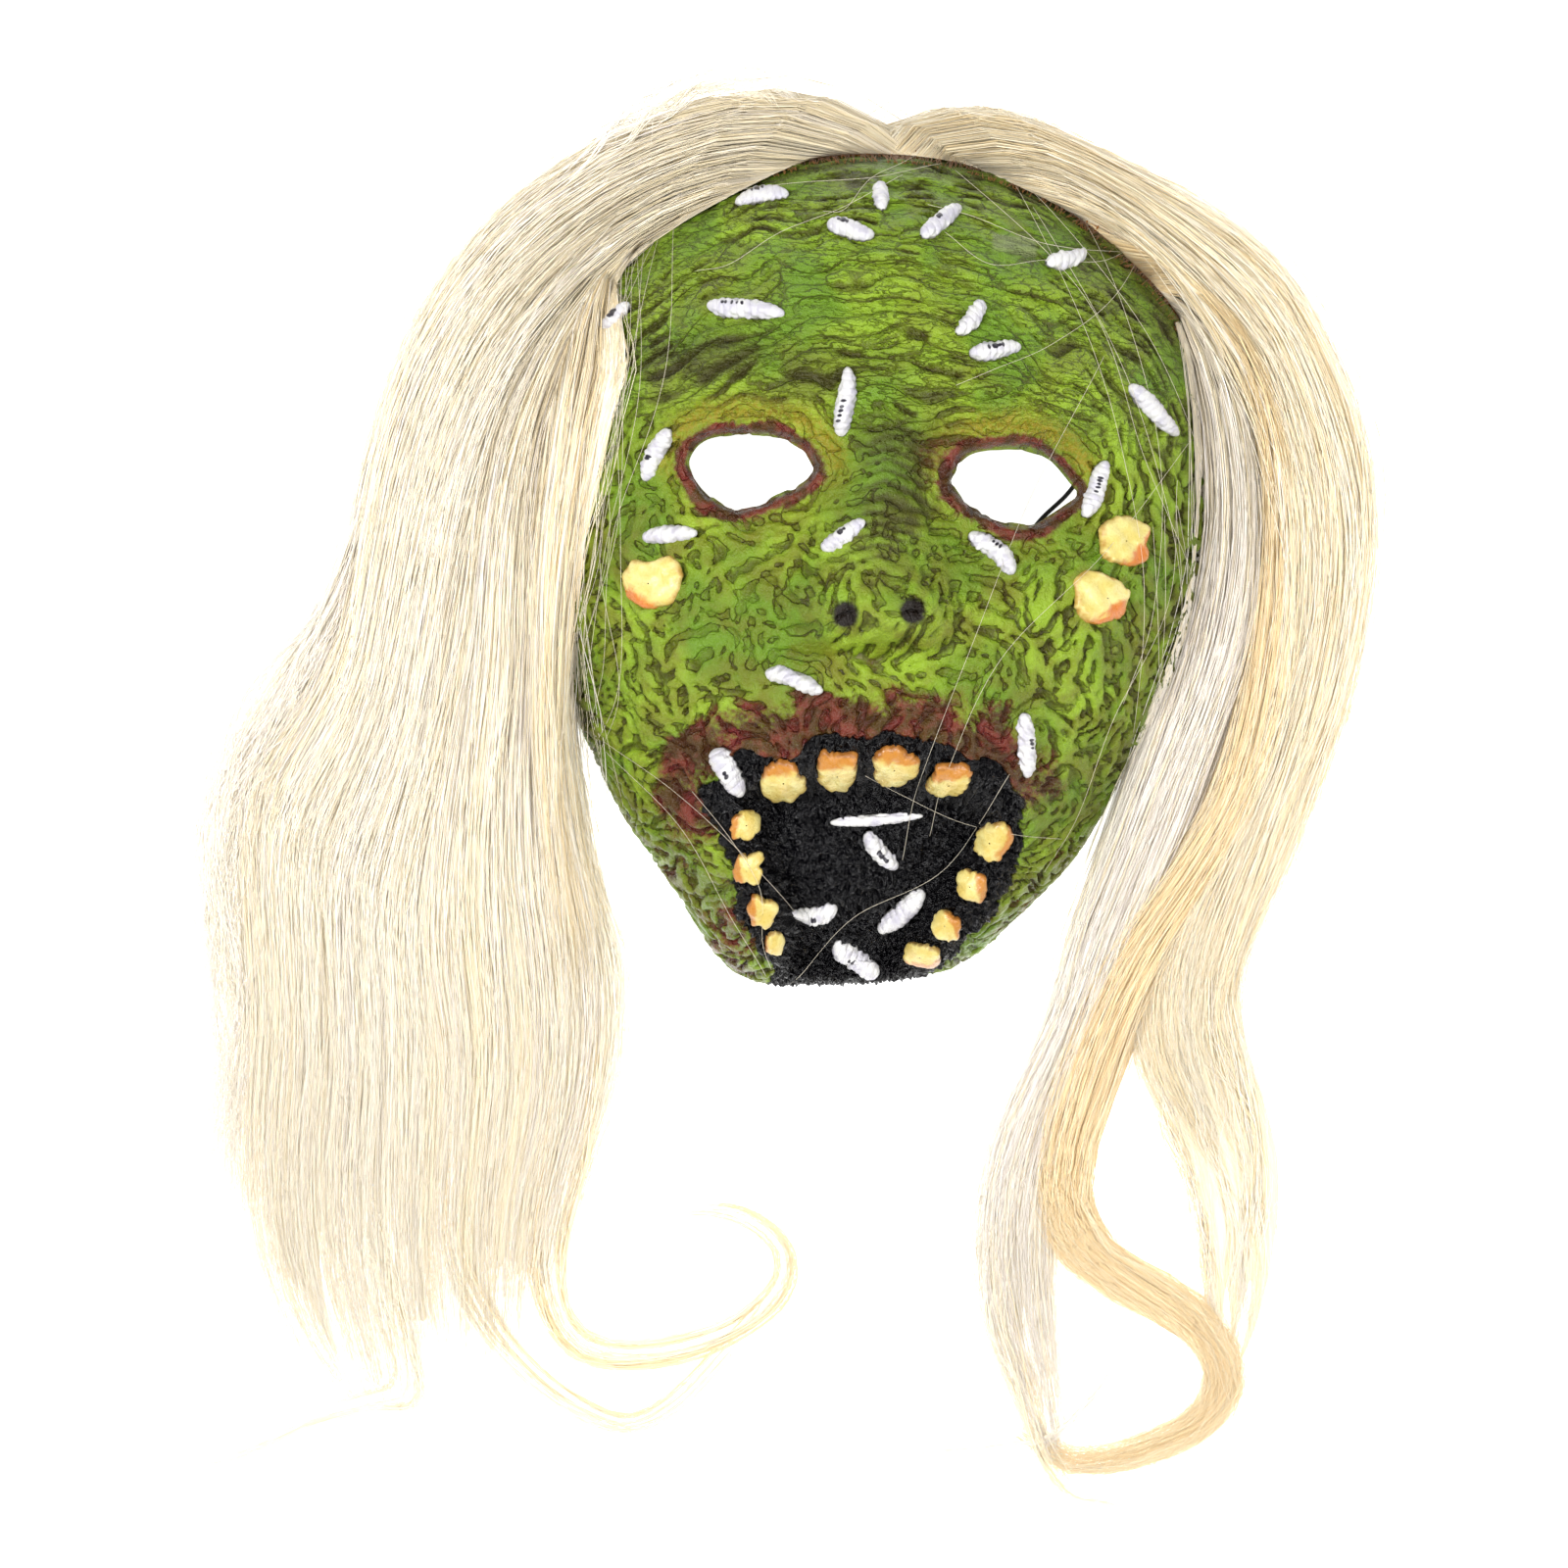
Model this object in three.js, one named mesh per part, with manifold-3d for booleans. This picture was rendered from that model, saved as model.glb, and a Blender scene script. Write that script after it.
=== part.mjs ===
// A zombie half-face mask of thin latex, lying face up beside the hair that is sewn to its crown.
// Millimetres. +Z comes out of the face, +Y runs to the crown, +X to the viewer's right.
// The face's own frame has its origin between the cheeks, on the plane that the rim rests on.

import * as THREE from "three";
import { mergeVertices } from "three/addons/utils/BufferGeometryUtils.js";
import Module from "manifold-3d";

const wasm = await Module();
wasm.setup();

// ---- driving dimensions ----

const GAP = 0.3;                 // left between pieces that touch

const HALF_WIDTH = 88;           // cheek to cheek is twice this
const CROWN_REACH = 94.5;        // from the outline's centre to the crown
const CROWN_POWER = 2.15;        // how square the forehead's outline is
const CHIN_REACH = 125;          // from the outline's centre to the chin
const CHIN_POWER = 1.85;         // below 2 the jaw tapers
const OUTLINE_CENTRE_Y = 15;
// Where the outline swells or sinks: direction in degrees, share of the reach, spread in degrees.
const OUTLINE_SWELLS = [
  [34, 0.04, 12], [146, 0.04, 12], [-42, -0.025, 10], [-76, 0.022, 7], [-103, 0.065, 8],
];

const DOME_HEIGHT = 62;          // the smooth dome, before the features are added
const DOME_POWER = 2.6;          // above 2 the dome is flat on top and steep at its rim
const RELIEF_START = 4;          // features fade in between these heights of the dome
const RELIEF_FULL = 28;
const SHELL_THICKNESS = 2.2;
const GRID = 30;                 // squares along each side of the shell's grid

const EYE_X = 34;
const EYE_Y = 20;
const NOSTRIL_SIZE = [2.6, 1.6]; // half length and half width
const NOSTRILS = [[-6.9, -17], [9.9, -15]];

const MOUTH_DEPTH = 13;
const MOUTH_LIP = 6;             // the recess starts this far inside the mouth's outline
const MOUTH_FLOOR = 16;          // and reaches its depth this far inside

const TEMPLE_Y = 57;             // the elastic's holes
const TEMPLE_Z = 10;
const TEMPLE_HOLE_RADIUS = 1.4;
const CORD_RADIUS = 0.6;
const KNOT_RADIUS = 2.2;

const HAIR_HINGE_Y = 44;         // the locks lift about this line
const HAIR_SPLIT = 1.0;          // clear space between the crown hair and a lock
const LOCK_GAP = 0.4;            // clear space between two locks
const LOCK_CLEARANCE = 2.4;      // lets a lock turn up past the face without touching it

const WEFT_HEIGHTS = [0.93, 0.86];  // the tape's lower and upper edge, as a share of the way to the rim
const WEFT_THICKNESS = 1.2;
const WEFT_END_ANGLE = 0.56;     // radians above the +X and -X axes

const COLOURS = {
  latex: 0x5f8a1e,
  maggot: 0xe6e4e0,
  tooth: 0xe3c878,
  blister: 0xe6d06a,
  tape: 0x9a5a2c,
  elastic: 0x101012,
  hair: 0xe8d9ae,
};

// ---- outlines, each as the few points that its curve passes through ----

const LEFT_EYE = [[-15.3, 1.6], [-10.9, 7], [0, 9], [11.3, 7.2], [16.1, 2.5], [14.9, -1.9],
  [8.3, -5.6], [0, -9.9], [-5.8, -9.1], [-11.9, -4.4]];
const RIGHT_EYE = [[-15.6, 1.6], [-11.5, 7.7], [0, 9.7], [8.6, 7.7], [14, 3.1], [16.2, -0.6],
  [12, -4.6], [4.7, -8.9], [-5.4, -7.8], [-13.3, -3.3]];
const MOUTH = [[-38, -58], [-30, -53], [-20, -50.5], [-8, -47], [7, -45], [24, -47.5], [35.5, -53],
  [42, -62.5], [43, -70.5], [40, -81], [33, -94], [26, -106], [20, -118], [-20, -118],
  [-25, -104], [-28, -90], [-35, -75.5], [-39, -64.5]];

// ---- pieces on the face: centre x and y, then their sizes ----

// x, y, turn in degrees, length, width
const MAGGOTS = [
  [-35.2, 91.7, 12, 14.1, 4.2], [-4.2, 93.2, 99, 7.6, 4.5], [-11.8, 83.4, -11, 12.6, 5],
  [11.3, 87.2, 42, 13.6, 5], [44, 80.8, 24, 11.6, 5], [-71, 58.5, 42, 10.1, 3.8],
  [-37.1, 60.8, -4, 20.2, 5.5], [19.8, 62, 54, 11.1, 5], [26.7, 53.9, 12, 13.6, 5],
  [-10.6, 38.3, 89, 17.7, 5.5], [69, 43.1, -38, 18.2, 5], [-57.8, 22.8, 69, 15.1, 5.5],
  [54.8, 21.2, 74, 16.6, 5.5], [-52.6, 2.2, 9, 14.1, 5], [-8.3, 3.9, 39, 13.1, 4.5],
  [29.3, 2.6, -38, 15.6, 5.5], [-18.5, -33.1, -16, 15.6, 5], [41.6, -45.3, -84, 16.8, 5],
  [-34, -57.1, -54, 13.4, 6.2], [5, -67, 8, 24.2, 3], [6.6, -75, -44, 12.6, 5.2],
  [-9.5, -92, 12, 12.6, 5], [13.4, -90.5, 46, 16, 5.6], [2.6, -103.5, -30, 14.5, 6.6],
];

// x, y, width, height
const TEETH = {
  tooth_upper: [[-19.6, -57.6, 9.6, 9.1], [-6.4, -54.8, 9.6, 9.6], [8.3, -52.5, 10.6, 8.1],
    [22.6, -55.3, 11.1, 7.6]],
  tooth_left: [[-29.3, -70.7, 5.5, 7.6], [-27.1, -81.6, 6.6, 8.1], [-22.8, -92.2, 6.2, 7.6],
    [-19.9, -100.6, 4.5, 6]],
  tooth_right: [[35.5, -70.4, 8.1, 9.6], [31, -82.5, 6.6, 8.6], [25.4, -92.6, 5.5, 6.6],
    [19.8, -101, 7.4, 6]],
};

// x, y, width, height
const BLISTERS = {
  blister_left_cheek: [-56.1, -10.5, 14.5, 13],
  blister_right_upper: [62.8, 8.2, 13, 12],
  blister_right_lower: [58.6, -6.6, 14, 12.5],
};

// ---- hair: stations along each lock, as x, y, half width and height ----

const CROWN_LEFT = [[-6, 117.5, 7, 20], [-28, 113.5, 10, 21], [-55, 102.5, 16, 22],
  [-80, 85.5, 20, 22], [-98, 65, 23, 21], [-106, 47, 24.5, 19], [-109, 32, 25, 18]];
const CROWN_RIGHT = [[-3, 117.5, 7, 20], [28, 112.5, 9, 21], [57, 99.5, 13, 21],
  [81, 84, 17, 21], [98, 65, 19, 20], [107, 47, 20.5, 19], [110, 32, 21, 18]];
const LEFT_OUTER = [[-119, 52, 14, 18], [-120.5, 20, 14.5, 17], [-122, -5, 15, 15],
  [-128, -35, 19, 14], [-137, -62, 26, 13], [-140.5, -95, 28, 12], [-133, -130, 25, 11],
  [-132, -165, 25, 10], [-134, -200, 26, 9], [-141, -227, 20, 7], [-146, -241, 9, 4]];
const LEFT_INNER = [[-96, 52, 10, 18], [-95, 20, 11.5, 18], [-95, -5, 12, 17],
  [-93, -35, 16, 15], [-91, -62, 19, 14], [-86, -95, 25.5, 12], [-80.5, -130, 27, 11],
  [-83, -165, 23.5, 10], [-88, -200, 20, 9], [-93, -222, 15, 7], [-97, -236, 8, 4]];
const LEFT_CURL = [[-73, -198, 7, 6], [-60, -220, 7, 6], [-41, -227, 6, 6], [-22, -212, 4.5, 5],
  [-13, -195, 4, 5], [-20, -181, 3, 4], [-38, -175.5, 2, 3]];
const RIGHT_OUTER = [[115, 52, 14, 18], [119, 20, 13.5, 17], [117, 0, 14, 15],
  [109, -30, 14, 14], [101, -60, 12.5, 13], [94.5, -85, 10.5, 12], [92, -106, 11.5, 12],
  [94.5, -130, 15, 11], [99.5, -154, 20, 11], [100, -175, 20.5, 10], [98, -198, 18, 9],
  [93, -220, 14, 7], [87, -238, 7, 5]];
const RIGHT_INNER = [[95, 52, 7, 18], [96, 20, 9, 17], [94, 0, 9.5, 16],
  [86, -30, 9, 14], [79.5, -60, 9, 13], [74, -85, 10, 12], [68, -106, 12, 12],
  [63.5, -130, 15.5, 11], [60, -154, 19, 11], [59, -175, 20.5, 10], [61, -198, 19, 9],
  [65, -220, 15, 7], [70, -238, 8, 5]];
const LOCK_SECTION = [[-1, 0], [1, 0], [1, 0.35], [0.8, 0.75], [0.4, 1], [-0.4, 1], [-0.8, 0.75],
  [-1, 0.35]];

// ---- the elastic's route, from the right temple to the left, on the table inside the hollow ----

const CORD_LIE = CORD_RADIUS + 0.2;
const ELASTIC_ROUTE = [[71, 56.5, 7.5], [65, 52, 3.2], [60, 42, CORD_LIE], [55.5, 31, CORD_LIE],
  [50.5, 22.5, CORD_LIE], [43, 14, CORD_LIE], [36, 2, CORD_LIE], [26, -10, CORD_LIE],
  [10, -18, CORD_LIE], [-10, -19, CORD_LIE], [-29, -12, CORD_LIE], [-44, 0, CORD_LIE],
  [-55, 15, CORD_LIE], [-60, 30, CORD_LIE], [-63, 43, CORD_LIE], [-66.5, 52.5, 3.2],
  [-72, 56.5, 7.5]];
const ELASTIC_STEPS = 64;

// ---- helpers ----

function smooth(low, high, value) {
  const t = Math.min(1, Math.max(0, (value - low) / (high - low)));
  return t * t * (3 - 2 * t);
}

function bump(dx, dy, spreadX, spreadY) {
  return Math.exp(-0.5 * ((dx / spreadX) ** 2 + (dy / spreadY) ** 2));
}

function closedOutline(points, count) {
  const curve = new THREE.CatmullRomCurve3(points.map(([x, y]) => new THREE.Vector3(x, y, 0)), true);
  return curve.getPoints(count).slice(0, count).map((p) => new THREE.Vector2(p.x, p.y));
}

// How far a point is inside a closed outline; negative outside it.
function insideDistance(outline, x, y) {
  let nearest = Infinity;
  let inside = false;
  outline.forEach((a, i) => {
    const b = outline[(i + 1) % outline.length];
    const ex = b.x - a.x;
    const ey = b.y - a.y;
    const along = Math.min(1, Math.max(0, ((x - a.x) * ex + (y - a.y) * ey) / (ex * ex + ey * ey)));
    nearest = Math.min(nearest, Math.hypot(x - a.x - along * ex, y - a.y - along * ey));
    if ((a.y > y) !== (b.y > y) && x < a.x + ((y - a.y) / ey) * ex) inside = !inside;
  });
  return inside ? nearest : -nearest;
}

function toSolid(geometry) {
  const bare = geometry.clone();
  bare.deleteAttribute("normal");
  bare.deleteAttribute("uv");
  const merged = mergeVertices(bare, 1e-4);
  const mesh = new wasm.Mesh({
    numProp: 3,
    vertProperties: new Float32Array(merged.attributes.position.array),
    triVerts: new Uint32Array(merged.index.array),
  });
  return new wasm.Manifold(mesh);
}

function toGeometry(solid) {
  const mesh = solid.getMesh();
  const geometry = new THREE.BufferGeometry();
  geometry.setAttribute("position", new THREE.BufferAttribute(mesh.vertProperties, 3));
  geometry.setIndex(new THREE.BufferAttribute(mesh.triVerts, 1));
  geometry.computeVertexNormals();
  return geometry;
}

function piece(name, geometry, colour, roughness) {
  const material = new THREE.MeshStandardMaterial({ color: colour, roughness, metalness: 0 });
  const mesh = new THREE.Mesh(geometry, material);
  mesh.name = name;
  return mesh;
}

function tube(points, radius, steps) {
  const section = new THREE.Shape();
  section.absarc(0, 0, radius, 0, 2 * Math.PI);
  const path = new THREE.CatmullRomCurve3(points.map((p) => new THREE.Vector3(...p)));
  return new THREE.ExtrudeGeometry(section, { steps, curveSegments: 4, extrudePath: path });
}

// ---- the face's outer surface ----

function outlineReach(angle) {
  const crown = Math.sin(angle) > 0;
  const power = crown ? CROWN_POWER : CHIN_POWER;
  const reach = crown ? CROWN_REACH : CHIN_REACH;
  const across = Math.abs(Math.cos(angle) / HALF_WIDTH) ** power;
  const along = Math.abs(Math.sin(angle) / reach) ** power;
  const degrees = THREE.MathUtils.radToDeg(angle);
  const swell = OUTLINE_SWELLS.reduce((sum, [direction, share, spread]) => (
    sum + share * Math.exp(-(((degrees - direction) / spread) ** 2))), 1);
  return swell * (across + along) ** (-1 / power);
}

function domeHeight(x, y) {
  const dy = y - OUTLINE_CENTRE_Y;
  const share = Math.min(1, Math.hypot(x, dy) / outlineReach(Math.atan2(dy, x)));
  return DOME_HEIGHT * Math.sqrt(1 - share ** DOME_POWER);
}

function noseHeight(x, y) {
  const down = Math.min(1, Math.max(0, (32 - y) / 44));
  const width = 9 + 4 * down;
  const ridge = (4 + 14 * down) * smooth(42, 28, y) * smooth(-27, -15, y);
  return ridge * bump(x, 0, width, 1) + 4 * bump(Math.abs(x) - 12, y + 14, 5, 6);
}

const mouthOutline = closedOutline(MOUTH, 54);

function relief(x, y) {
  const side = Math.abs(x);
  const forehead = 6 * bump(x, y - 55, 55, 35);
  const brow = 5 * bump(side - 36, y - 40, 22, 8);
  const socket = -9 * bump(side - EYE_X, y - EYE_Y - 2, 20, 13);
  const cheekbone = 5 * bump(side - 52, y + 12, 20, 16);
  const muzzle = 6 * bump(x, y + 38, 36, 14);
  const inMouth = insideDistance(mouthOutline, x, y);
  const lip = 3 * bump(inMouth, 0, 5, 1);
  const mouth = -MOUTH_DEPTH * smooth(MOUTH_LIP, MOUTH_FLOOR, inMouth);
  return forehead + brow + socket + cheekbone + muzzle + lip + mouth + noseHeight(x, y);
}

function faceHeight(x, y) {
  const dome = domeHeight(x, y);
  return dome + smooth(RELIEF_START, RELIEF_FULL, dome) * relief(x, y);
}

function facePoint(x, y) {
  return new THREE.Vector3(x, y, faceHeight(x, y));
}

function faceNormal(x, y) {
  const step = 1.5;
  const slopeX = (faceHeight(x + step, y) - faceHeight(x - step, y)) / (2 * step);
  const slopeY = (faceHeight(x, y + step) - faceHeight(x, y - step)) / (2 * step);
  return new THREE.Vector3(-slopeX, -slopeY, 1).normalize();
}

// A point by its direction from the outline's centre and its share of the way to the rim.
function rimwardPoint(angle, share) {
  const reach = outlineReach(angle) * Math.sin((share * Math.PI) / 2);
  return [reach * Math.cos(angle), OUTLINE_CENTRE_Y + reach * Math.sin(angle)];
}

// ---- the latex shell ----

// Square grid coordinates from -1 to 1, laid over the outline without pinched corners.
function gridPoint(u, v) {
  const wide = Math.abs(u) > Math.abs(v);
  const share = Math.abs(wide ? u : v);
  if (share === 0) return [0, OUTLINE_CENTRE_Y];
  const ray = wide ? (Math.PI / 4) * (v / u) : Math.PI / 2 - (Math.PI / 4) * (u / v);
  const angle = (wide ? u : v) > 0 ? ray : ray + Math.PI;
  return rimwardPoint(Math.atan2(Math.sin(angle), Math.cos(angle)), share);
}

function outerGrid() {
  const positions = [];
  const index = [];
  const row = GRID + 1;
  for (let j = 0; j <= GRID; j += 1) {
    for (let i = 0; i <= GRID; i += 1) {
      const [x, y] = gridPoint((2 * i) / GRID - 1, (2 * j) / GRID - 1);
      const onRim = i === 0 || j === 0 || i === GRID || j === GRID;
      positions.push(x, y, onRim ? 0 : faceHeight(x, y));
      if (i < GRID && j < GRID) {
        const a = j * row + i;
        index.push(a, a + 1, a + row + 1, a, a + row + 1, a + row);
      }
    }
  }
  const geometry = new THREE.BufferGeometry();
  geometry.setAttribute("position", new THREE.Float32BufferAttribute(positions, 3));
  geometry.setIndex(index);
  geometry.computeVertexNormals();
  return geometry;
}

function rimLoop() {
  const row = GRID + 1;
  const loop = [];
  for (let i = 0; i < GRID; i += 1) loop.push(i);
  for (let j = 0; j < GRID; j += 1) loop.push(j * row + GRID);
  for (let i = GRID; i > 0; i -= 1) loop.push(GRID * row + i);
  for (let j = GRID; j > 0; j -= 1) loop.push(j * row);
  return loop;
}

// The outer surface moved along its normals; the rim only moves sideways.
function offsetPositions(outer, distance) {
  const { position, normal } = outer.attributes;
  const moved = [];
  const rim = new Set(rimLoop());
  for (let i = 0; i < position.count; i += 1) {
    const direction = new THREE.Vector3().fromBufferAttribute(normal, i);
    if (rim.has(i)) direction.setZ(0).normalize();
    moved.push(new THREE.Vector3().fromBufferAttribute(position, i).addScaledVector(direction, distance));
  }
  return moved;
}

// The closed body between two sheets of points with the outer surface's triangles.
function bodyBetween(outer, upper, lower) {
  const top = Array.from(outer.index.array);
  const shift = upper.length;
  const index = [...top];
  for (let i = 0; i < top.length; i += 3) {
    index.push(top[i] + shift, top[i + 2] + shift, top[i + 1] + shift);
  }
  const loop = rimLoop();
  loop.forEach((a, k) => {
    const b = loop[(k + 1) % loop.length];
    index.push(b, a, a + shift, b, a + shift, b + shift);
  });
  const geometry = new THREE.BufferGeometry().setFromPoints([...upper, ...lower]);
  geometry.setIndex(index);
  return toSolid(geometry);
}

function prism(outline, x, y) {
  const shape = new THREE.Shape(outline.map((p) => new THREE.Vector2(p.x + x, p.y + y)));
  return toSolid(new THREE.ExtrudeGeometry(shape, { depth: 120, steps: 1, bevelEnabled: false }));
}

function nostrilOutline() {
  const shape = new THREE.Shape();
  shape.absellipse(0, 0, ...NOSTRIL_SIZE, 0, 2 * Math.PI);
  return shape.getPoints(5).slice(1);
}

function templeHoles() {
  const drill = new THREE.CylinderGeometry(TEMPLE_HOLE_RADIUS, TEMPLE_HOLE_RADIUS, 240, 10);
  drill.rotateZ(Math.PI / 2).translate(0, TEMPLE_Y, TEMPLE_Z);
  return toSolid(drill);
}

const outerSurface = outerGrid();
const bareShell = bodyBetween(outerSurface, offsetPositions(outerSurface, 0),
  offsetPositions(outerSurface, -SHELL_THICKNESS));

// The whole space under the face, grown by a clearance.
function faceSpace(clearance) {
  const upper = offsetPositions(outerSurface, clearance);
  return bodyBetween(outerSurface, upper, upper.map((p) => p.clone().setZ(-5)));
}

const keepOut = faceSpace(GAP);

function latexFace() {
  let shell = bareShell
    .subtract(prism(closedOutline(LEFT_EYE, 24), -EYE_X, EYE_Y))
    .subtract(prism(closedOutline(RIGHT_EYE, 24), EYE_X, EYE_Y))
    .subtract(templeHoles());
  NOSTRILS.forEach(([x, y]) => {
    shell = shell.subtract(prism(nostrilOutline(), x, y));
  });
  return piece("latex_face", toGeometry(shell), COLOURS.latex, 0.45);
}

// ---- maggots, teeth and blisters, each seated on the shell ----

// A rounded body whose flat shape follows the face. Squareness 1 is an ellipsoid, below 1 is boxier.
function seatedBlob(x, y, turn, [length, width, height], squareness) {
  const ball = new THREE.SphereGeometry(1, 9, 5);
  ball.rotateZ(Math.PI / 2);
  const spots = ball.attributes.position;
  const spread = (value) => Math.sign(value) * Math.abs(value) ** squareness;
  const angle = THREE.MathUtils.degToRad(turn);
  for (let i = 0; i < spots.count; i += 1) {
    const along = spread(spots.getX(i)) * (length / 2);
    const across = spread(spots.getY(i)) * (width / 2);
    const px = x + along * Math.cos(angle) - across * Math.sin(angle);
    const py = y + along * Math.sin(angle) + across * Math.cos(angle);
    const spot = facePoint(px, py).addScaledVector(faceNormal(px, py), spread(spots.getZ(i)) * height);
    spots.setXYZ(i, spot.x, spot.y, spot.z);
  }
  return toGeometry(toSolid(ball).subtract(keepOut));
}

function maggots() {
  return MAGGOTS.map(([x, y, turn, length, width], i) => {
    const name = `maggot_${String(i + 1).padStart(2, "0")}`;
    const size = [length, width, 0.72 * width];
    return piece(name, seatedBlob(x, y, turn, size, 0.72), COLOURS.maggot, 0.4);
  });
}

function teeth() {
  return Object.entries(TEETH).flatMap(([row, places]) => places.map(([x, y, width, height], i) => {
    const shape = seatedBlob(x, y, 0, [width, height, 4], 0.7);
    return piece(`${row}_${i + 1}`, shape, COLOURS.tooth, 0.35);
  }));
}

function blisters() {
  return Object.entries(BLISTERS).map(([name, [x, y, width, height]]) => {
    const shape = seatedBlob(x, y, 0, [width, height, 4.5], 0.85);
    return piece(name, shape, COLOURS.blister, 0.35);
  });
}

// ---- the sewn tape and the hair ----

function weftTape() {
  const steps = 28;
  const rings = [];
  for (let i = 0; i <= steps; i += 1) {
    const angle = THREE.MathUtils.lerp(WEFT_END_ANGLE, Math.PI - WEFT_END_ANGLE, i / steps);
    const [low, high] = WEFT_HEIGHTS.map((share) => {
      const [x, y] = rimwardPoint(angle, share);
      return { foot: facePoint(x, y), out: new THREE.Vector3(Math.cos(angle), Math.sin(angle), 0) };
    });
    const reach = (edge, distance) => edge.foot.clone().addScaledVector(edge.out, distance);
    rings.push([reach(high, -0.5), reach(high, WEFT_THICKNESS + 0.5), reach(low, WEFT_THICKNESS),
      reach(low, -0.5)]);
  }
  return toSolid(loft(rings)).subtract(keepOut);
}

// A closed body through rings of points that all run the same way round.
function loft(rings) {
  const count = rings[0].length;
  const index = [];
  for (let r = 0; r < rings.length - 1; r += 1) {
    for (let k = 0; k < count; k += 1) {
      const a = r * count + k;
      const b = r * count + ((k + 1) % count);
      index.push(a, b, b + count, a, b + count, a + count);
    }
  }
  const last = (rings.length - 1) * count;
  for (let k = 1; k < count - 1; k += 1) {
    index.push(0, k + 1, k, last, last + k, last + k + 1);
  }
  const geometry = new THREE.BufferGeometry().setFromPoints(rings.flat());
  geometry.setIndex(index);
  return geometry;
}

// A lock lies flat on the table and is rounded above; grow makes the space that it keeps clear.
function lock(stations, grow = 0) {
  const middle = new THREE.CatmullRomCurve3(stations.map(([x, y]) => new THREE.Vector3(x, y, 0)));
  const size = new THREE.CatmullRomCurve3(stations.map(([, , w, h]) => new THREE.Vector3(w, h, 0)));
  const steps = 2 * (stations.length - 1);
  const rings = [];
  for (let i = 0; i <= steps; i += 1) {
    const centre = middle.getPoint(i / steps);
    const { x: halfWidth, y: height } = size.getPoint(i / steps);
    const along = middle.getTangent(i / steps);
    const across = new THREE.Vector3(-along.y, along.x, 0).normalize();
    rings.push(LOCK_SECTION.map(([side, up]) => centre.clone()
      .addScaledVector(across, side * (halfWidth + grow))
      .setZ(up * (height + grow) - (up === 0 ? grow : 0))));
  }
  return toSolid(loft(rings));
}

function templePocket(side) {
  const ball = new THREE.SphereGeometry(KNOT_RADIUS + 2, 12, 8);
  ball.translate(side * (templeReach() + KNOT_RADIUS), TEMPLE_Y, TEMPLE_Z);
  return toSolid(ball);
}

// Everything on one side of the line that the locks lift about.
function besideHinge(crownward) {
  const box = new THREE.BoxGeometry(400, 400, 100);
  return toSolid(box.translate(0, HAIR_HINGE_Y + crownward * (200 + HAIR_SPLIT / 2), 0));
}

function crownHair(stations, side) {
  const tailSpace = toSolid(tube(TAIL_RIGHT, 2.2 * CORD_RADIUS, 8));
  return lock(stations).intersect(besideHinge(1))
    .subtract(faceSpace(WEFT_THICKNESS + 1)).subtract(templePocket(side)).subtract(tailSpace);
}

function innerLock(stations, neighbour) {
  return lock(stations).intersect(besideHinge(-1))
    .subtract(faceSpace(LOCK_CLEARANCE)).subtract(lock(neighbour, LOCK_GAP));
}

function outerLock(stations) {
  return lock(stations).intersect(besideHinge(-1));
}

function hairPiece(name, solid) {
  return piece(name, toGeometry(solid), COLOURS.hair, 0.5);
}

// ---- the elastic, its knots outside the temples, and the right knot's long tail ----

// How far out the shell's outer wall is at the temple holes.
function templeReach() {
  let x = HALF_WIDTH;
  while (faceHeight(x, TEMPLE_Y) < TEMPLE_Z) x -= 0.1;
  return x;
}

const KNOT_X = templeReach() + GAP + KNOT_RADIUS;
const TAIL_RIGHT = [[KNOT_X, TEMPLE_Y, TEMPLE_Z], [KNOT_X + 0.6, 62, 10.5], [KNOT_X - 1.5, 68, 11.5],
  [KNOT_X - 6, 74, 12.5]];
const TAIL_LEFT = [[-KNOT_X, TEMPLE_Y, TEMPLE_Z], [-KNOT_X - 1.5, 59.5, TEMPLE_Z]];

function knot(name, tail) {
  const ball = new THREE.SphereGeometry(KNOT_RADIUS, 10, 8);
  ball.translate(...tail[0]);
  const solid = toSolid(ball).add(toSolid(tube(tail, CORD_RADIUS, 3 * tail.length))).subtract(keepOut);
  return piece(name, toGeometry(solid), COLOURS.elastic, 0.7);
}

function elasticCord() {
  const end = templeReach() - 0.4;
  const straight = end - 6;
  const route = [[end, TEMPLE_Y, TEMPLE_Z], [straight, TEMPLE_Y, TEMPLE_Z], ...ELASTIC_ROUTE,
    [-straight, TEMPLE_Y, TEMPLE_Z], [-end, TEMPLE_Y, TEMPLE_Z]];
  return piece("elastic_cord", tube(route, CORD_RADIUS, ELASTIC_STEPS), COLOURS.elastic, 0.7);
}

// ---- assembly ----

const face = new THREE.Group();
face.add(latexFace(), ...maggots(), ...teeth(), ...blisters());
face.add(piece("hair_weft_tape", toGeometry(weftTape()), COLOURS.tape, 0.8));
face.add(hairPiece("hair_crown_left", crownHair(CROWN_LEFT, -1)));
face.add(hairPiece("hair_crown_right", crownHair(CROWN_RIGHT, 1)));
face.add(knot("elastic_knot_left", TAIL_LEFT), knot("elastic_knot_right", TAIL_RIGHT));

const leftHair = new THREE.Group();
leftHair.add(hairPiece("hair_left_outer_lock", outerLock(LEFT_OUTER)));
leftHair.add(hairPiece("hair_left_inner_lock", innerLock(LEFT_INNER, LEFT_OUTER)));
leftHair.add(hairPiece("hair_left_curl", lock(LEFT_CURL).subtract(lock(LEFT_INNER, LOCK_GAP))));

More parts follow.
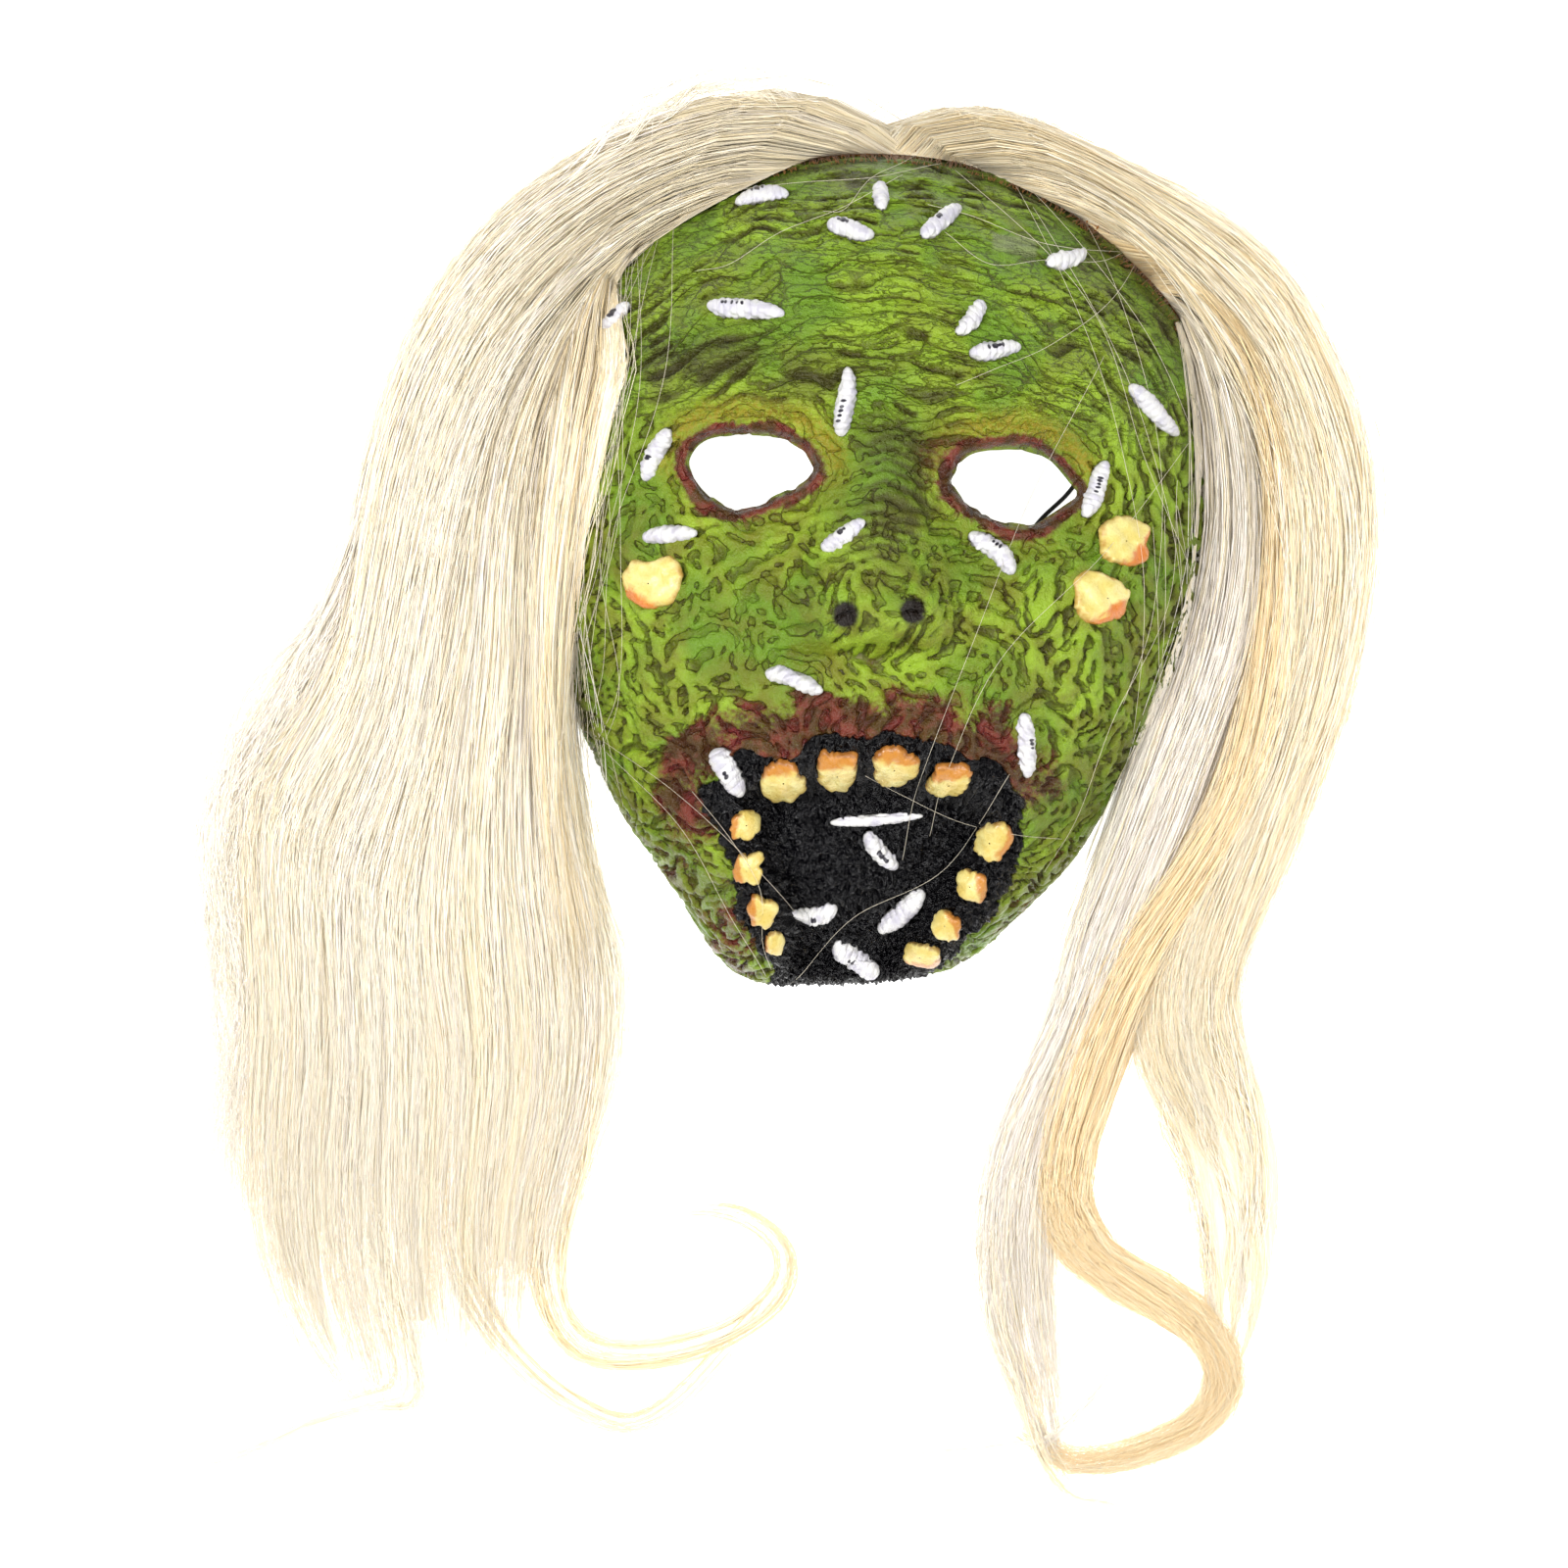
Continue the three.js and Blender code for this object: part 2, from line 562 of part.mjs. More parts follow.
const rightHair = new THREE.Group();
rightHair.add(hairPiece("hair_right_outer_lock", outerLock(RIGHT_OUTER)));
rightHair.add(hairPiece("hair_right_inner_lock", innerLock(RIGHT_INNER, RIGHT_OUTER)));

const mask = new THREE.Group();
mask.add(face, leftHair, rightHair, elasticCord());

// The part's origin is the middle of its footprint, on the plane that it rests on.
const box = new THREE.Box3().setFromObject(mask);
const middle = box.getCenter(new THREE.Vector3());
mask.position.set(-middle.x, -middle.y, -box.min.z);

export default mask;
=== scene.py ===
"""A green zombie half mask of thin latex, lying face up with its long blonde hair spread beside it.

Shapes are worked out in millimetres in the face's own frame: +Z out of the face, +Y to the crown,
its origin between the cheeks on the table. to_scene() turns them into the frame's metres.
"""
import math

import bpy
import numpy as np
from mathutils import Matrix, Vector
from mathutils.geometry import delaunay_2d_cdt


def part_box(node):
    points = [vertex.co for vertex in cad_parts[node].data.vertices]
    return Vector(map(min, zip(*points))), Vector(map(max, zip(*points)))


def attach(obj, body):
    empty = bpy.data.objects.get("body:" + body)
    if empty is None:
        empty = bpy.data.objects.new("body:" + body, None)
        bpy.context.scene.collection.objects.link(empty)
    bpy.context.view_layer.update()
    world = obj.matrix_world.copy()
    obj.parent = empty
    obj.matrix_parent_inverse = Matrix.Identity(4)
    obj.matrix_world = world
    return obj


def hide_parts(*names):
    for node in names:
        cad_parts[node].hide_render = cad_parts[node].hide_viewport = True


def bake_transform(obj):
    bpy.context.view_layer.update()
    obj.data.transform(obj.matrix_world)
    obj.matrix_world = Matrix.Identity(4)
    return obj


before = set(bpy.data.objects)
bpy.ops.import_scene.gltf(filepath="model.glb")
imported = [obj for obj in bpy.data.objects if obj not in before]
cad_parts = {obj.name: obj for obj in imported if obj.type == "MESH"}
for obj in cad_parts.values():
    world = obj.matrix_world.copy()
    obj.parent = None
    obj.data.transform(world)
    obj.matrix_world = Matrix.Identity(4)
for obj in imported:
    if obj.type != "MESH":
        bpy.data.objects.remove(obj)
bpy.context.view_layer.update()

# ---- driving dimensions, in millimetres ----

HALF_WIDTH = 88.0          # the face's outline
CROWN_REACH, CROWN_POWER = 94.5, 2.15
CHIN_REACH, CHIN_POWER = 125.0, 1.85
OUTLINE_Y = 15.0
# Where the outline swells or sinks: direction in degrees, share of the reach, spread in degrees.
OUTLINE_SWELLS = [(34, 0.04, 12), (146, 0.04, 12), (-42, -0.025, 10), (-76, 0.022, 7), (-103, 0.065, 8)]

DOME_HEIGHT, DOME_POWER = 62.0, 2.6
RELIEF_START, RELIEF_FULL = 4.0, 28.0
THICKNESS = 2.2
FINE, COARSE = 0.88, 3.0   # spacing of the points outside and inside the shell
RIM_STEP = 0.9             # spacing along its edges

LEFT_EYE, RIGHT_EYE = (-34.0, 20.0), (34.0, 20.0)
LEFT_EYE_EDGE = [(-15.3, 1.6), (-10.9, 7), (0, 9), (11.3, 7.2), (16.1, 2.5), (14.9, -1.9), (8.3, -5.6),
                 (0, -9.9), (-5.8, -9.1), (-11.9, -4.4)]
RIGHT_EYE_EDGE = [(-15.6, 1.6), (-11.5, 7.7), (0, 9.7), (8.6, 7.7), (14, 3.1), (16.2, -0.6), (12, -4.6),
                  (4.7, -8.9), (-5.4, -7.8), (-13.3, -3.3)]
MOUTH_EDGE = [(-38, -58), (-30, -53), (-20, -50.5), (-8, -47), (7, -45), (24, -47.5), (35.5, -53),
              (42, -62.5), (43, -70.5), (40, -81), (33, -94), (26, -106), (20, -118), (-20, -118),
              (-25, -104), (-28, -90), (-35, -75.5), (-39, -64.5)]
NOSTRILS = [(-6.9, -17.0), (9.9, -15.0)]
NOSTRIL_SIZE = (2.6, 1.6)
NOSTRIL_SLANT = 4.5        # the inner end is that much nearer the brow
NOSTRIL_LOOPS = (3, 4)     # their places among the shell's loops
MOUTH_DEPTH, MOUTH_LIP, MOUTH_FLOOR = 13.0, 6.0, 16.0
TEMPLE_Y, TEMPLE_Z, TEMPLE_HOLE = 57.0, 10.0, 1.4

low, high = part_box("latex_face")
MM = 1000.0
ORIGIN = np.array([(low[0] + high[0]) / 2, high[1] - (CROWN_REACH + OUTLINE_Y) / MM, low[2]])


def to_scene(points):
    return np.asarray(points, float) / MM + ORIGIN


def place(x, y, z):
    return tuple(float(v) for v in to_scene((x, y, z)))


# ---- small numeric helpers ----

def smooth(start, end, value):
    t = np.clip((value - start) / (end - start), 0, 1)
    return t * t * (3 - 2 * t)


def bump(dx, dy, spread_x, spread_y):
    return np.exp(-0.5 * ((dx / spread_x) ** 2 + (dy / spread_y) ** 2))


def full_turn(count):
    return np.linspace(0, 2 * math.pi, count, endpoint=False)


def unit(vectors):
    return vectors / np.linalg.norm(vectors, axis=-1)[..., None]


def square_to(paths, reference):
    """Two directions across a path, or each path of a stack, at every point of it."""
    tangent = unit(np.gradient(paths, axis=-2))
    side = unit(np.cross(tangent, reference))
    return side, np.cross(side, tangent)


def spline(points, count, closed=False):
    """Catmull-Rom through the points, evenly spaced along its length."""
    p = np.asarray(points, float)
    p = np.vstack([p[-1:], p, p[:2]]) if closed else np.vstack([2 * p[0] - p[1], p, 2 * p[-1] - p[-2]])
    t = np.linspace(0, 1, 17)[:-1, None]
    a, b, c, d = (p[i:len(p) - 3 + i, None] for i in range(4))
    square, cube = 2 * a - 5 * b + 4 * c - d, 3 * b - 3 * c + d - a
    fine = 0.5 * (2 * b + (c - a) * t + square * t ** 2 + cube * t ** 3)
    fine = fine.reshape(-1, p.shape[1])
    fine = np.vstack([fine, fine[:1] if closed else p[-2:-1]])
    run = np.concatenate([[0], np.cumsum(np.linalg.norm(np.diff(fine, axis=0), axis=1))])
    spots = np.linspace(0, run[-1], count, endpoint=not closed)
    return np.stack([np.interp(spots, run, column) for column in fine.T], axis=1)


def loop_length(points):
    return np.linalg.norm(np.diff(np.vstack([points, points[:1]]), axis=0), axis=1).sum()


def even_loop(points, step):
    rough = spline(points, 200, closed=True)
    return spline(points, max(8, int(loop_length(rough) / step)), closed=True)


def inside_distance(outline, x, y):
    """How far each point is inside a closed outline, negative outside it."""
    nearest = np.full(x.shape, 1e9)
    inside = np.zeros(x.shape, bool)
    for a, b in zip(outline, np.roll(outline, -1, axis=0)):
        edge = b - a
        t = np.clip(((x - a[0]) * edge[0] + (y - a[1]) * edge[1]) / (edge @ edge), 0, 1)
        nearest = np.minimum(nearest, np.hypot(x - a[0] - t * edge[0], y - a[1] - t * edge[1]))
        if a[1] != b[1]:
            inside ^= ((a[1] > y) != (b[1] > y)) & (x < a[0] + (y - a[1]) / edge[1] * edge[0])
    return np.where(inside, nearest, -nearest)


EYES = ((LEFT_EYE_EDGE, LEFT_EYE), (RIGHT_EYE_EDGE, RIGHT_EYE))
EYE_LOOPS = [spline(np.add(edge, centre), 60, True) for edge, centre in EYES]
MOUTH_LOOP = spline(MOUTH_EDGE, 90, True)


# ---- the face's surface ----

def outline_reach(angle):
    crown = np.sin(angle) > 0
    power = np.where(crown, CROWN_POWER, CHIN_POWER)
    reach = np.where(crown, CROWN_REACH, CHIN_REACH)
    across = np.abs(np.cos(angle) / HALF_WIDTH) ** power
    along = np.abs(np.sin(angle) / reach) ** power
    swell = 1.0
    for direction, share, spread in OUTLINE_SWELLS:
        swell = swell + share * np.exp(-((np.degrees(angle) - direction) / spread) ** 2)
    return swell * (across + along) ** (-1 / power)


def dome_height(x, y):
    dy = y - OUTLINE_Y
    share = np.minimum(1, np.hypot(x, dy) / outline_reach(np.arctan2(dy, x)))
    return DOME_HEIGHT * np.sqrt(1 - share ** DOME_POWER)


def nose_height(x, y):
    down = np.clip((32 - y) / 44, 0, 1)
    ridge = (4 + 14 * down) * smooth(42, 28, y) * smooth(-27, -15, y)
    return ridge * bump(x, 0, 9 + 4 * down, 1) + 4 * bump(np.abs(x) - 12, y + 14, 5, 6)


def relief(x, y):
    side = np.abs(x)
    total = 6 * bump(x, y - 55, 55, 35) + 5 * bump(side - 36, y - 40, 22, 8)
    total += -9 * bump(side - 34, y - 22, 20, 13) + 5 * bump(side - 52, y + 12, 20, 16)
    total += 6 * bump(x, y + 38, 36, 14) + nose_height(x, y)
    in_mouth = inside_distance(MOUTH_LOOP, x, y)
    return total + 3 * bump(in_mouth, 0, 5, 1) - MOUTH_DEPTH * smooth(MOUTH_LIP, MOUTH_FLOOR, in_mouth)


def plain_height(x, y):
    dome = dome_height(x, y)
    return dome + smooth(RELIEF_START, RELIEF_FULL, dome) * relief(x, y)


# ---- the shell's flat sheet: distance from the middle there is length along the surface ----

PROFILE_SHARE = np.sin(np.linspace(0, math.pi / 2, 400))
PROFILE_RISE = np.sqrt(np.maximum(0, 1 - PROFILE_SHARE ** DOME_POWER))
PROFILE_REACH = 100.0      # the radius that the profile is measured at
PROFILE_RUN = np.concatenate([[0], np.cumsum(
    np.hypot(np.diff(PROFILE_SHARE) * PROFILE_REACH, np.diff(PROFILE_RISE) * DOME_HEIGHT))])
STRETCH = PROFILE_RUN[-1] / PROFILE_REACH


def to_flat(x, y):
    dy = y - OUTLINE_Y
    angle = np.arctan2(dy, x)
    reach = outline_reach(angle)
    run = np.interp(np.hypot(x, dy) / reach, PROFILE_SHARE, PROFILE_RUN) / PROFILE_RUN[-1]
    return np.stack([run * reach * STRETCH * np.cos(angle), run * reach * STRETCH * np.sin(angle)], axis=-1)


def from_flat(flat):
    angle = np.arctan2(flat[:, 1], flat[:, 0])
    reach = outline_reach(angle)
    run = np.minimum(1, np.hypot(flat[:, 0], flat[:, 1]) / (reach * STRETCH))
    share = np.interp(run * PROFILE_RUN[-1], PROFILE_RUN, PROFILE_SHARE)
    return share * reach * np.cos(angle), OUTLINE_Y + share * reach * np.sin(angle), share


# ---- wrinkles, grown on a raster over the flat sheet by filtering noise along the ridges' directions ----

CELL = 0.4                 # the raster's spacing
RASTER = (600, 750)        # columns and rows, over the flat sheet
RASTER_MIDDLE = -20.0      # the rows' middle on the sheet
RIDGE_ANGLES = 12          # directions that the ridges' filters are made for
RIDGE_DRIVE = 1.7          # how hard each round presses the field towards flat tops and floors
# Each kind of ridge: its period in millimetres, its spread of angle, its rounds, its spread of period.
FOLDS, LINES = (9.0, 0.3, 4, 0.5), (4.8, 0.3, 3, 0.5)
CURLS, CLODS = (4.4, 0.8, 1, 0.7), (8.0, 0.8, 1, 0.6)
FINE_RIDGES, WET_LUMPS = (2.3, 0.5, 2, 0.5), (3.0, 0.9, 2, 0.5)
CHEVRON_PERIOD = 3.1       # of the folds across the nose
SKIN_DEPTH = 1.25          # millimetres from a wrinkle raster's 0 to 1
SEED = 7
# What each group of random draws adds to the seed.
STRAND_SEED, MASS_SEED, GRUB_SEED, TOOTH_SEED, BLISTER_SEED = 100, 200, 300, 400, 450
TAPE_SEED, LOOSE_SEED, FRINGE_SEED = 500, 600, 700


def raster_grid():
    columns = (np.arange(RASTER[0]) - RASTER[0] / 2) * CELL
    rows = (np.arange(RASTER[1]) - RASTER[1] / 2) * CELL + RASTER_MIDDLE
    return np.meshgrid(columns, rows)


def band_noise(rng, period):
    """Smooth noise of about that period in millimetres, with unit spread."""
    fx, fy = np.meshgrid(np.fft.fftfreq(RASTER[0], CELL), np.fft.fftfreq(RASTER[1], CELL))
    keep = np.exp(-((np.hypot(fx, fy) - 0.6 / period) * period / 0.5) ** 2)
    field = np.fft.ifft2(np.fft.fft2(rng.standard_normal(RASTER[::-1])) * keep).real
    return field / field.std()


def ridge_directions(x, y, rng):
    """Cosine and sine of twice the angle that the ridges run at."""
    total = np.zeros(x.shape, complex)

    def add(weight, angle):
        nonlocal total
        total = total + weight * np.exp(2j * angle)

    add(1.4 * smooth(34, 48, y), np.arctan2(y + 25, x) + math.pi / 2)
    for loop, (ex, ey) in zip(EYE_LOOPS, (LEFT_EYE, RIGHT_EYE)):
        away = np.maximum(0, -inside_distance(loop, x, y))
        add(2.2 * np.exp(-(away / 11) ** 2), np.arctan2((y - ey) / 121, (x - ex) / 324) + math.pi / 2)
    add(1.6 * bump(x, y - 27, 9, 12), 0.0)
    add(1.0 * bump(x - 68, y + 8, 12, 34), math.radians(102))
    add(0.5 * bump(x + 74, y - 5, 10, 40), math.radians(80))
    round_mouth = np.maximum(0, -inside_distance(MOUTH_LOOP, x, y))
    add(0.9 * np.exp(-(round_mouth / 9) ** 2), np.arctan2(y + 75, x))
    wander = (band_noise(rng, 16) + 1j * band_noise(rng, 16))
    total = total + 0.62 * wander * (1 - 0.75 * smooth(30, 48, y))
    return total.real / np.abs(total), total.imag / np.abs(total)


def grow_ridges(rng, directions, kind):
    """Ridges about 1 high along the directions; a small spread of angle makes them long and straight."""
    period, spread, rounds, band = kind
    fx, fy = np.meshgrid(np.fft.fftfreq(RASTER[0], CELL), np.fft.fftfreq(RASTER[1], CELL))
    ring = np.exp(-((np.hypot(fx, fy) * period - 1) / band) ** 2)
    heading = np.arctan2(fy, fx)
    filters, shares = [], []
    for k in range(RIDGE_ANGLES):
        angle = math.pi * k / RIDGE_ANGLES
        turn = np.angle(np.exp(2j * (heading - angle - math.pi / 2))) / 2
        filters.append(ring * np.exp(-0.5 * (turn / spread) ** 2))
        along = directions[0] * math.cos(2 * angle) + directions[1] * math.sin(2 * angle)
        shares.append(np.maximum(0, along) ** 8)
    total_share = sum(shares)
    field = rng.standard_normal(RASTER[::-1])
    for _ in range(rounds):
        spectrum = np.fft.fft2(np.tanh(RIDGE_DRIVE * field))
        field = sum(np.fft.ifft2(spectrum * f).real * s for f, s in zip(filters, shares)) / total_share
        field /= field.std()
    return field


def crease(field, width):
    """A narrow groove along each line where a field changes sign."""
    return np.exp(-(field / width) ** 2)


def make_wrinkles():
    """Rasters over the flat sheet: the skin's height in millimetres, its grooves, creases and variation."""
    rng = np.random.default_rng(SEED)
    flat_x, flat_y = raster_grid()
    x, y, _ = from_flat(np.stack([flat_x.ravel(), flat_y.ravel()], axis=1))
    x, y = x.reshape(flat_x.shape), y.reshape(flat_x.shape)
    directions = ridge_directions(x, y, rng)
    anywhere = band_noise(rng, 5) + 1j * band_noise(rng, 5)
    anywhere = (anywhere.real / np.abs(anywhere), anywhere.imag / np.abs(anywhere))
    folds, lines, curls, clods, fine = (
        grow_ridges(rng, directions, kind) for kind in (FOLDS, LINES, CURLS, CLODS, FINE_RIDGES))
    lumps = grow_ridges(rng, anywhere, WET_LUMPS)
    slow, patch = band_noise(rng, 26), band_noise(rng, 12)
    bent = (flat_x + 1.4 * band_noise(rng, 17), flat_y + 1.4 * band_noise(rng, 17))
    folds, lines, curls = (sample(raster, *bent) for raster in (folds, lines, curls))

    brow = smooth(22, 42, y)
    busy = smooth(-0.5, 0.9, patch + 1.1 * bump(y - 46, 0, 9, 1) - 0.5 * bump(x, y - 66, 30, 12))
    fold_groove = crease(folds + 0.2 * fine, 0.55) * smooth(-1.6, 0.2, patch + slow)
    line_groove = smooth(0.1, -1.2, lines + 0.15 * fine)
    fold = 0.45 * np.tanh(1.3 * folds) - 0.95 * fold_groove
    line = 0.3 - 1.15 * line_groove
    forehead = fold * (1 - 0.7 * busy) + line * (0.2 + 0.8 * busy)
    lumpy = 0.8 * curls + 0.55 * clods
    valley = smooth(0.1, -1.15, lumpy + 0.35 * fine)
    cheek = 0.35 - 1.45 * valley + 0.3 * np.tanh(lumpy)
    nose = bump(x - 1, y - 14, 9, 15)
    chevrons = np.sin(2 * math.pi * (y + 0.3 * np.abs(x - 1) + 0.5 * patch) / CHEVRON_PERIOD)
    cheek = cheek * (1 - nose) + (0.1 + 0.45 * chevrons) * nose
    height = forehead * brow + cheek * (1 - brow) + 0.1 * fine
    web = (folds * (1 - 0.6 * busy) + (lines + 0.6) * 0.6 * busy) * brow + (lumpy + 0.55) * (1 - brow)
    valley = valley * (1 - nose) + smooth(0.1, -0.9, chevrons) * nose
    groove = np.maximum(fold_groove * (1 - 0.6 * busy), busy * line_groove) * brow + valley * (1 - brow)
    return {"height": height, "groove": groove, "web": web, "lumps": lumps, "slow": slow,
            "patch": patch, "fine": fine}


def sample(raster, x, y):
    """Bilinear look-up of a raster at points on the flat sheet."""
    column = np.clip(x / CELL + RASTER[0] / 2, 0, RASTER[0] - 1.001)
    row = np.clip((y - RASTER_MIDDLE) / CELL + RASTER[1] / 2, 0, RASTER[1] - 1.001)
    c, r = column.astype(int), row.astype(int)
    u, v = column - c, row - r
    near = raster[r, c] * (1 - u) + raster[r, c + 1] * u
    far = raster[r + 1, c] * (1 - u) + raster[r + 1, c + 1] * u
    return near * (1 - v) + far * v


# ---- the shell's two skins ----

LID_RISE, LID_AWAY, LID_SPREAD = 1.8, 2.4, 1.5     # the ridge round each eye hole
LID_DROP, LID_SLOPE = 2.2, 1.6                     # and the slope inside it
EDGE_ROUND = 0.35          # how far the shell's edges bulge


def lid_height(x, y):
    """Each eye hole's lid: a ridge round it and a slope down to its edge; a dimple at each nostril."""
    total = np.zeros(x.shape)
    for loop in EYE_LOOPS:
        away = np.maximum(0, -inside_distance(loop, x, y))
        total += LID_RISE * bump(away - LID_AWAY, 0, LID_SPREAD, 1) - LID_DROP * smooth(LID_SLOPE, 0, away)
    for nx, ny in NOSTRILS:
        total += -1.4 * bump(x - nx, y - ny, 3.2, 2.4) + 0.9 * bump(x - nx, y - ny + 4.5, 4, 1.8)
    return total


def smooth_surface(flat, lids=1.0):
    """Points and normals of the face without its wrinkles."""
    def point(p):
        x, y, share = from_flat(p)
        z = plain_height(x, y) + (lids * lid_height(x, y) if lids else 0)
        return np.stack([x, y, np.where(share > 0.99999, 0, z)], axis=1)

    step = 0.7
    reach = outline_reach(np.arctan2(flat[:, 1], flat[:, 0])) * STRETCH
    inward = np.minimum(1, (reach - 1.01 * step) / np.maximum(1e-6, np.hypot(flat[:, 0], flat[:, 1])))
    safe = flat * inward[:, None]
    across = point(safe + (step, 0)) - point(safe - (step, 0))
    along = point(safe + (0, step)) - point(safe - (0, step))
    return point(flat), unit(np.cross(across, along))


def temple_loop(side):
    """The elastic's hole in the steep side wall: points on the surface round the temple's height."""
    turn = full_turn(14)
    y, z = TEMPLE_Y + TEMPLE_HOLE * np.cos(turn), TEMPLE_Z + TEMPLE_HOLE * np.sin(turn)
    near, far = np.full(y.shape, 40.0), np.full(y.shape, HALF_WIDTH)
    for _ in range(40):
        middle = (near + far) / 2
        higher = plain_height(middle, y) > z
        near, far = np.where(higher, middle, near), np.where(higher, far, middle)
    return to_flat(side * near, y)


def temple_reach():
    """How far out the shell's outer wall is at the temple holes."""
    x = np.arange(HALF_WIDTH, 60, -0.1)
    return x[np.argmax(plain_height(x, np.full(x.shape, TEMPLE_Y)) >= TEMPLE_Z)]


def shell_loops():
    """The rim first, then every hole, as loops of points on the flat sheet."""
    turn = full_turn(900)
    reach = outline_reach(turn) * STRETCH
    rim = np.stack([reach * np.cos(turn), reach * np.sin(turn)], axis=1)
    rim = spline(rim, int(loop_length(rim) / (RIM_STEP * STRETCH)), True)
    reach = outline_reach(np.arctan2(rim[:, 1], rim[:, 0])) * STRETCH
    rim *= (reach / np.hypot(rim[:, 0], rim[:, 1]))[:, None]
    loops = [rim]
    for edge, centre in EYES:
        outline = even_loop(np.add(edge, centre), RIM_STEP)
        loops.append(to_flat(outline[:, 0], outline[:, 1]))
    turn = full_turn(16)
    for nx, ny in NOSTRILS:
        loops.append(to_flat(nx + NOSTRIL_SIZE[0] * np.cos(turn), ny + NOSTRIL_SIZE[1] * np.sin(turn)))
    return loops + [temple_loop(-1), temple_loop(1)]


def inside_rim(points, margin):
    reach = outline_reach(np.arctan2(points[:, 1], points[:, 0])) * STRETCH
    return np.hypot(points[:, 0], points[:, 1]) < reach - margin


def flat_mesh(loops, step):
    """Triangles that fill the sheet between its loops; the loops' points come first."""
    rim = loops[0]
    span = np.abs(rim).max(axis=0) + step
    rows = np.arange(-span[1], span[1], step * math.sqrt(3) / 2)
    points = []
    for k, row in enumerate(rows):
        columns = np.arange(-span[0] + step / 2 * (k % 2), span[0], step)
        points.append(np.stack([columns, np.full(len(columns), row)], axis=1))
    points = np.vstack(points)
    points = points[inside_rim(points, 0.55 * step)]
    for loop in loops[1:]:
        centre, size = loop.mean(axis=0), np.ptp(loop, axis=0).max()
        near = np.hypot(*(points - centre).T) < size
        clear = inside_distance(loop, points[near, 0], points[near, 1]) < -0.5 * step
        points = np.delete(points, np.flatnonzero(near)[~clear], axis=0)
    edges, start = [], 0
    for loop in loops:
        ids = np.arange(len(loop)) + start
        edges += list(zip(ids.tolist(), np.roll(ids, -1).tolist()))
        start += len(loop)
    everything = np.vstack(loops + [points])
    found = delaunay_2d_cdt([Vector(p) for p in everything.tolist()], edges, [], 0, 1e-7)
    placed = np.array([tuple(v) for v in found[0]])
    faces = np.array(found[2])
    middle = placed[faces].mean(axis=1)
    keep = inside_rim(middle, 0)
    for loop in loops[1:]:
        centre, size = loop.mean(axis=0), np.ptp(loop, axis=0).max()
        near = np.flatnonzero(np.hypot(*(middle - centre).T) < size)
        keep[near[inside_distance(loop, middle[near, 0], middle[near, 1]) > 0]] = False
    return placed, faces[keep]


def join_skins(outer, inner, outer_faces, inner_faces, loops):
    """One closed body: both skins, and a rounded wall round the rim and each hole."""
    points = [outer, inner]
    faces = [outer_faces, inner_faces[:, ::-1] + len(outer)]
    start, total = 0, len(outer) + len(inner)
    for number, loop in enumerate(loops):
        ids = np.arange(len(loop)) + start
        start += len(loop)
        top, bottom = outer[ids], inner[ids]
        middle = (top + bottom) / 2
        if number:
            middle = middle + EDGE_ROUND * unit(middle.mean(axis=0) - middle)
        points.append(middle)
        rows = (ids, np.arange(len(ids)) + total, ids + len(outer))
        total += len(ids)
        for upper, lower in zip(rows, rows[1:]):
            a, b, c, d = upper, np.roll(upper, -1), np.roll(lower, -1), lower
            wall = np.vstack([np.stack([b, a, d], axis=1), np.stack([b, d, c], axis=1)])
            faces.append(wall if number == 0 else wall[:, ::-1])
    return np.vstack(points), np.vstack(faces)


def wrinkle_height(wrinkles, flat, x, y):
    """Millimetres out of the smooth face, how much of a groove each point is in, and the mouth."""
    height, groove, fine, lumps, slow, patch = (sample(wrinkles[name], *flat.T) for name in (
        "height", "groove", "fine", "lumps", "slow", "patch"))
    eye = np.max([inside_distance(loop, x, y) for loop in EYE_LOOPS], axis=0)
    nostril = np.min([np.hypot(x - nx, y - ny) for nx, ny in NOSTRILS], axis=0)
    mouth = smooth(-1.5, 1.5, inside_distance(MOUTH_LOOP, x, y) + 1.2 * patch - 5 * smooth(-98, -110, y))
    calm = 0.6 + 0.4 * smooth(-1.2, 0.6, slow)
    depth = SKIN_DEPTH * calm * (0.35 + 0.65 * smooth(-1, -7, eye)) * (0.3 + 0.7 * smooth(2, 6, nostril))
    wet = 0.8 * np.tanh(1.7 * lumps) + 0.35 * fine + 0.3 * height
    return height * depth * (1 - mouth) + wet * mouth, groove * calm, mouth


# Patches of paint: strength, then x, y and the two spreads in millimetres.
DARK_PATCHES = [(0.95, -42, 49, 22, 6), (0.5, 66, 64, 18, 14), (0.95, 2, 17, 10, 17), (0.35, 44, 78, 30, 6),
                (0.4, 78, 0, 9, 40), (0.3, -60, 28, 10, 16), (0.3, 10, 29, 12, 5)]
RED_CORNERS = [(0.8, 50, -96, 9, 9), (0.6, -30, -100, 7, 10), (0.5, -45, -72, 6, 14)]


def patches(spots, x, y):
    return sum(strength * bump(x - px, y - py, wide, tall) for strength, px, py, wide, tall in spots)


